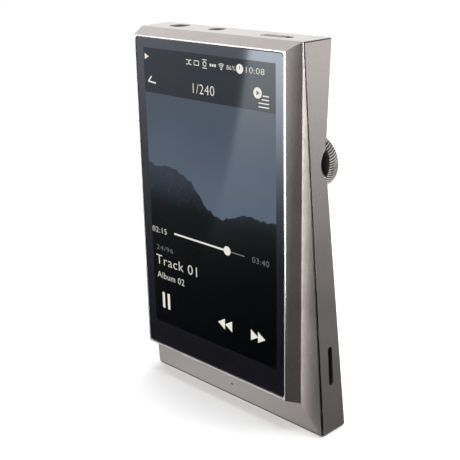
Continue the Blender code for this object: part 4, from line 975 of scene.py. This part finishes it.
class PLAYER_OT_fittings(BuildOperator, bpy.types.Operator):
    """Build the socket collars, the base screws and the row of contacts"""

    bl_idname = "player.fittings"
    bl_label = "Sockets and screws"

    def build(self, sizes, colours):
        for node in ("headphone_jack_collar", "balanced_jack_collar"):
            low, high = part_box(node)
            centre = (low + high) / 2
            outer = (high.x - low.x) / 2
            bore = outer - (0.4 if outer > 2.6 * MM else 0.35) * MM
            bm = bmesh.new()
            profile = [
                (outer, low.z), (outer, high.z - 0.06 * MM), (outer - 0.06 * MM, high.z),
                (outer - 0.12 * MM, high.z), (bore, high.z - 0.16 * MM), (bore, low.z),
            ]
            add_turned(bm, profile, ORIGIN, 56)
            stood_up(bm, centre)
            collar = finished(bm, node.replace("collar", "ring"), [finish("dark_steel")], 30)
            placed(collar, "player", "steel", node)
            bm = bmesh.new()
            lip = [(bore - 0.04 * MM, high.z - 0.14 * MM), (bore - 0.30 * MM, high.z - 0.30 * MM),
                   (bore - 0.30 * MM, high.z - 0.8 * MM), (bore - 0.04 * MM, high.z - 0.8 * MM)]
            add_turned(bm, lip, ORIGIN, 56)
            stood_up(bm, centre)
            placed(finished(bm, node.replace("collar", "lip"), [finish("steel")], 30), "player", "steel")
        self.build_painted_gap_shade()
        self.build_row("base_screws", "steel", ("base_screw_1", "base_screw_2"), screw_profile)
        contacts = [f"dock_contact_{count}" for count in range(1, 5)]
        self.build_row("base_contacts", "contact_gold", contacts, contact_profile)

    def build_painted_gap_shade(self):
        """Thin dark rings in the top face, round the power button and the status light: painted shade, standing
        in for the shadow in the gaps round them.
        """
        top = HOUSING_HIGH.z
        bm = bmesh.new()
        for node, reach in (("power_button", 0.42 * MM), ("status_light", 0.50 * MM)):
            low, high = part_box(node)
            middle = (low + high) / 2
            half = Vector(((high.x - low.x) / 2, (high.y - low.y) / 2))
            loops = []
            for grow, z in ((SHADE_RING_CLEARANCE, top - SHADE_RING_DEPTH), (reach, top - SHADE_RING_DEPTH),
                            (reach, top + SHADE_RING_RISE), (SHADE_RING_CLEARANCE, top + SHADE_RING_RISE)):
                corner = (min(half) + grow) * 0.999     # just short, so that two corners don't meet in a point
                outline = rounded_rectangle(
                    (middle.x - half.x - grow, middle.y - half.y - grow),
                    (middle.x + half.x + grow, middle.y + half.y + grow), corner)
                loops.append([bm.verts.new((x, y, z)) for x, y in outline])
            for first, second in zip(loops, loops[1:] + loops[:1]):
                for i in range(len(first)):
                    j = (i + 1) % len(first)
                    bm.faces.new((first[i], first[j], second[j], second[i]))
        bmesh.ops.recalc_face_normals(bm, faces=bm.faces)
        # painted shade: near-black rings for the shadowed gaps round the button and the light
        placed(finished(bm, "painted_gap_shade", [finish("painted_shade_black")], 30), "player", "black_plastic")

    def build_row(self, name, slot, nodes, profile):
        """Like turned pieces under the base, spaced as the frame's nodes are."""
        low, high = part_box(nodes[0])
        next_low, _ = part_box(nodes[1])
        bm = bmesh.new()
        add_turned(bm, profile((high.x - low.x) / 2, high.z - low.z), ORIGIN, 24)
        stood_up(bm)
        row = finished(bm, name, [finish(slot)])
        repeated(row, row_tree(), {
            "Count": len(nodes), "Start": Vector(((low.x + high.x) / 2, (low.y + high.y) / 2, low.z)),
            "Step": Vector((next_low.x - low.x, 0.0, 0.0)), "Material": finish(slot),
        })
        placed(row, "player", slot, *nodes)


def screw_profile(radius, depth):
    """A low head with a round recess, on a plain shank."""
    shank = 0.5 * MM
    return [
        (0.0, 0.30 * MM), (0.34 * MM, 0.30 * MM), (0.38 * MM, 0.0), (radius * 0.86, 0.0), (radius, 0.12 * MM),
        (radius, 0.5 * MM), (shank, 0.5 * MM), (shank, depth), (0.0, depth),
    ]


def contact_profile(radius, depth):
    """A pin with a slightly domed end."""
    return [
        (0.0, 0.0), (radius * 0.55, 0.02 * MM), (radius * 0.9, 0.10 * MM), (radius, 0.22 * MM),
        (radius, depth), (0.0, depth),
    ]


# ---------------------------------------------------------------- stage

CAMERA_PLACE = Vector((181.812, -183.512, 142.140)) * MM
CAMERA_RIGHT = Vector((0.70936, 0.70457, -0.01969))
CAMERA_UP = Vector((-0.21397, 0.24187, 0.94642))
CAMERA_BACK = Vector((0.67158, -0.66715, 0.32233))
CAMERA_LENS = 72.35


def studio_light():
    """A pale room: bright near the horizon, dark below, with soft cards in front and dimmer sides."""
    world = bpy.data.worlds.new("studio")
    bpy.context.scene.world = world
    world.use_nodes = True
    nodes = Nodes(world.node_tree)
    direction = nodes.add("ShaderNodeTexCoord", output=0)
    x, y, z = nodes.parts(direction)
    height = z * 0.5 + 0.5
    level = nodes.add("ShaderNodeValToRGB", {"stops": [
        (0.0, 0.02), (0.25, 0.01), (0.28, 0.015), (0.31, 0.04), (0.35, 0.12), (0.40, 0.32), (0.45, 0.62),
        (0.50, 0.90), (0.65, 0.85), (0.875, 0.50),
    ]}, {0: height})
    behind_level = nodes.add("ShaderNodeValToRGB", {"stops": [
        (0.30, 0.07), (0.35, 0.075), (0.375, 0.10), (0.40, 0.20), (0.425, 0.36), (0.45, 0.60), (0.50, 0.95),
    ]}, {0: height})
    right_level = nodes.add("ShaderNodeValToRGB", {"stops": [
        (0.30, 0.0), (0.355, 0.01), (0.375, 0.05), (0.405, 0.32), (0.43, 0.55), (0.46, 0.65),
    ]}, {0: height})
    to_right = (x + 0.2).clamped() ** 1.5
    front = (y * -4.0 - 1.0).clamped()
    near_card = smooth_step(x, -0.688, -0.684) * smooth_step(x, -0.58, -0.60)
    near_card = near_card * smooth_step(z, -0.40, -0.12) ** 2.0
    far_card = smooth_step(x, -0.60, -0.56) * smooth_step(x, 0.55, 0.25) * smooth_step(z, -0.36, -0.18)
    glow = smooth_step(z, -0.48, -0.53) * smooth_step(x, -0.50, -0.60)
    cards = near_card * 2.5 + far_card * 10.0 + glow * 0.72
    behind = smooth_step(y, 0.2, 0.6)
    low_behind = behind * smooth_step(z, 0.02, -0.06)
    low_right = smooth_step(x, 0.4, 0.8) * smooth_step(y, 0.3, 0.0) * smooth_step(z, 0.0, -0.10)
    level = level * (1.0 - to_right * 0.40) * (1.0 - behind * smooth_step(z, 0.0, 0.1) * 0.2)
    level = level * (1.0 - low_behind) * (1.0 - low_right) + behind_level * low_behind + right_level * low_right
    total = level + cards * front * smooth_step(z, 0.06, -0.04)
    background = world.node_tree.nodes["Background"]
    grey = nodes.add("ShaderNodeCombineXYZ", inputs={0: total, 1: total, 2: total})
    nodes.feed(background.inputs["Color"], grey)
    background.inputs["Strength"].default_value = 2.0


class PLAYER_OT_stage(BuildOperator, bpy.types.Operator):
    """Set the floor, the soft light and the camera"""

    bl_idname = "player.stage"
    bl_label = "Stage"

    def build(self, sizes, colours):
        studio_light()
        bm = bmesh.new()
        bmesh.ops.create_circle(bm, cap_ends=True, segments=96, radius=20.0)
        floor = finished(bm, "floor", [self.pale_floor()])
        floor.visible_glossy = False
        bm = bmesh.new()
        bmesh.ops.create_uvsphere(bm, u_segments=48, v_segments=24, radius=19.0)
        bmesh.ops.reverse_faces(bm, faces=bm.faces)
        backdrop = finished(bm, "backdrop", [self.pale_backdrop()], 60)
        for rays in ("visible_glossy", "visible_diffuse", "visible_shadow", "visible_transmission"):
            setattr(backdrop, rays, False)
        self.overhead_light()
        self.camera()
        bpy.context.scene.view_settings.view_transform = "Standard"

    def pale_floor(self):
        def build(nodes, place):
            tone = nodes.noise(place, 0.02, 2.0)
            return {"Base Color": nodes.mixed(tone, (0.86, 0.86, 0.86, 1.0), (0.90, 0.90, 0.90, 1.0))}

        return material("pale_floor", {
            "Roughness": 0.9, "Emission Color": (1.0, 1.0, 1.0, 1.0), "Emission Strength": 0.03,
        }, build)

    def pale_backdrop(self):
        white = (1.0, 1.0, 1.0, 1.0)
        black = (0.0, 0.0, 0.0, 1.0)
        return material("pale_backdrop", {"Base Color": black, "Emission Color": white, "Emission Strength": 1.0})

    def overhead_light(self):
        data = bpy.data.lights.new("overhead", "AREA")
        data.size = 0.5
        data.energy = 8.0
        light = bpy.data.objects.new("overhead", data)
        light.location = (0.10, 0.16, 0.9)
        light.rotation_euler = Vector((0.10, 0.16, 0.9)).to_track_quat("Z", "Y").to_euler()
        light.visible_glossy = False
        bpy.context.scene.collection.objects.link(light)

    def camera(self):
        data = bpy.data.cameras.new("camera")
        data.lens = CAMERA_LENS
        data.sensor_width = 36.0
        data.clip_start = 0.01
        data.clip_end = 60.0
        camera = bpy.data.objects.new("camera", data)
        turn = Matrix((CAMERA_RIGHT, CAMERA_UP, CAMERA_BACK)).transposed().to_4x4()
        camera.matrix_world = Matrix.Translation(CAMERA_PLACE) @ turn
        bpy.context.scene.collection.objects.link(camera)
        bpy.context.scene.camera = camera


class PLAYER_PT_panel(bpy.types.Panel):
    bl_label = "Pocket music player"
    bl_idname = "PLAYER_PT_panel"
    bl_space_type = "VIEW_3D"
    bl_region_type = "UI"
    bl_category = "Player"

    def draw(self, context):
        for group in (context.scene.player_sizes, context.scene.player_colours):
            column = self.layout.column()
            for name in group.__annotations__:
                column.prop(group, name)
        for operator in OPERATORS:
            self.layout.operator(operator.bl_idname)


OPERATORS = (
    PLAYER_OT_finishes, PLAYER_OT_housing, PLAYER_OT_side, PLAYER_OT_back, PLAYER_OT_screen,
    PLAYER_OT_wheel, PLAYER_OT_keys, PLAYER_OT_fittings, PLAYER_OT_stage,
)
CLASSES = (PlayerSizes, PlayerColours, *OPERATORS, PLAYER_PT_panel)


def register():
    for each in CLASSES:
        bpy.utils.register_class(each)
    bpy.types.Scene.player_sizes = PointerProperty(type=PlayerSizes)
    bpy.types.Scene.player_colours = PointerProperty(type=PlayerColours)


def unregister():
    del bpy.types.Scene.player_colours
    del bpy.types.Scene.player_sizes
    for each in reversed(CLASSES):
        bpy.utils.unregister_class(each)


def main():
    register()
    for name in ("finishes", "housing", "side", "back", "screen", "wheel", "keys", "fittings", "stage"):
        getattr(bpy.ops.player, name)()


if __name__ == "__main__":
    main()
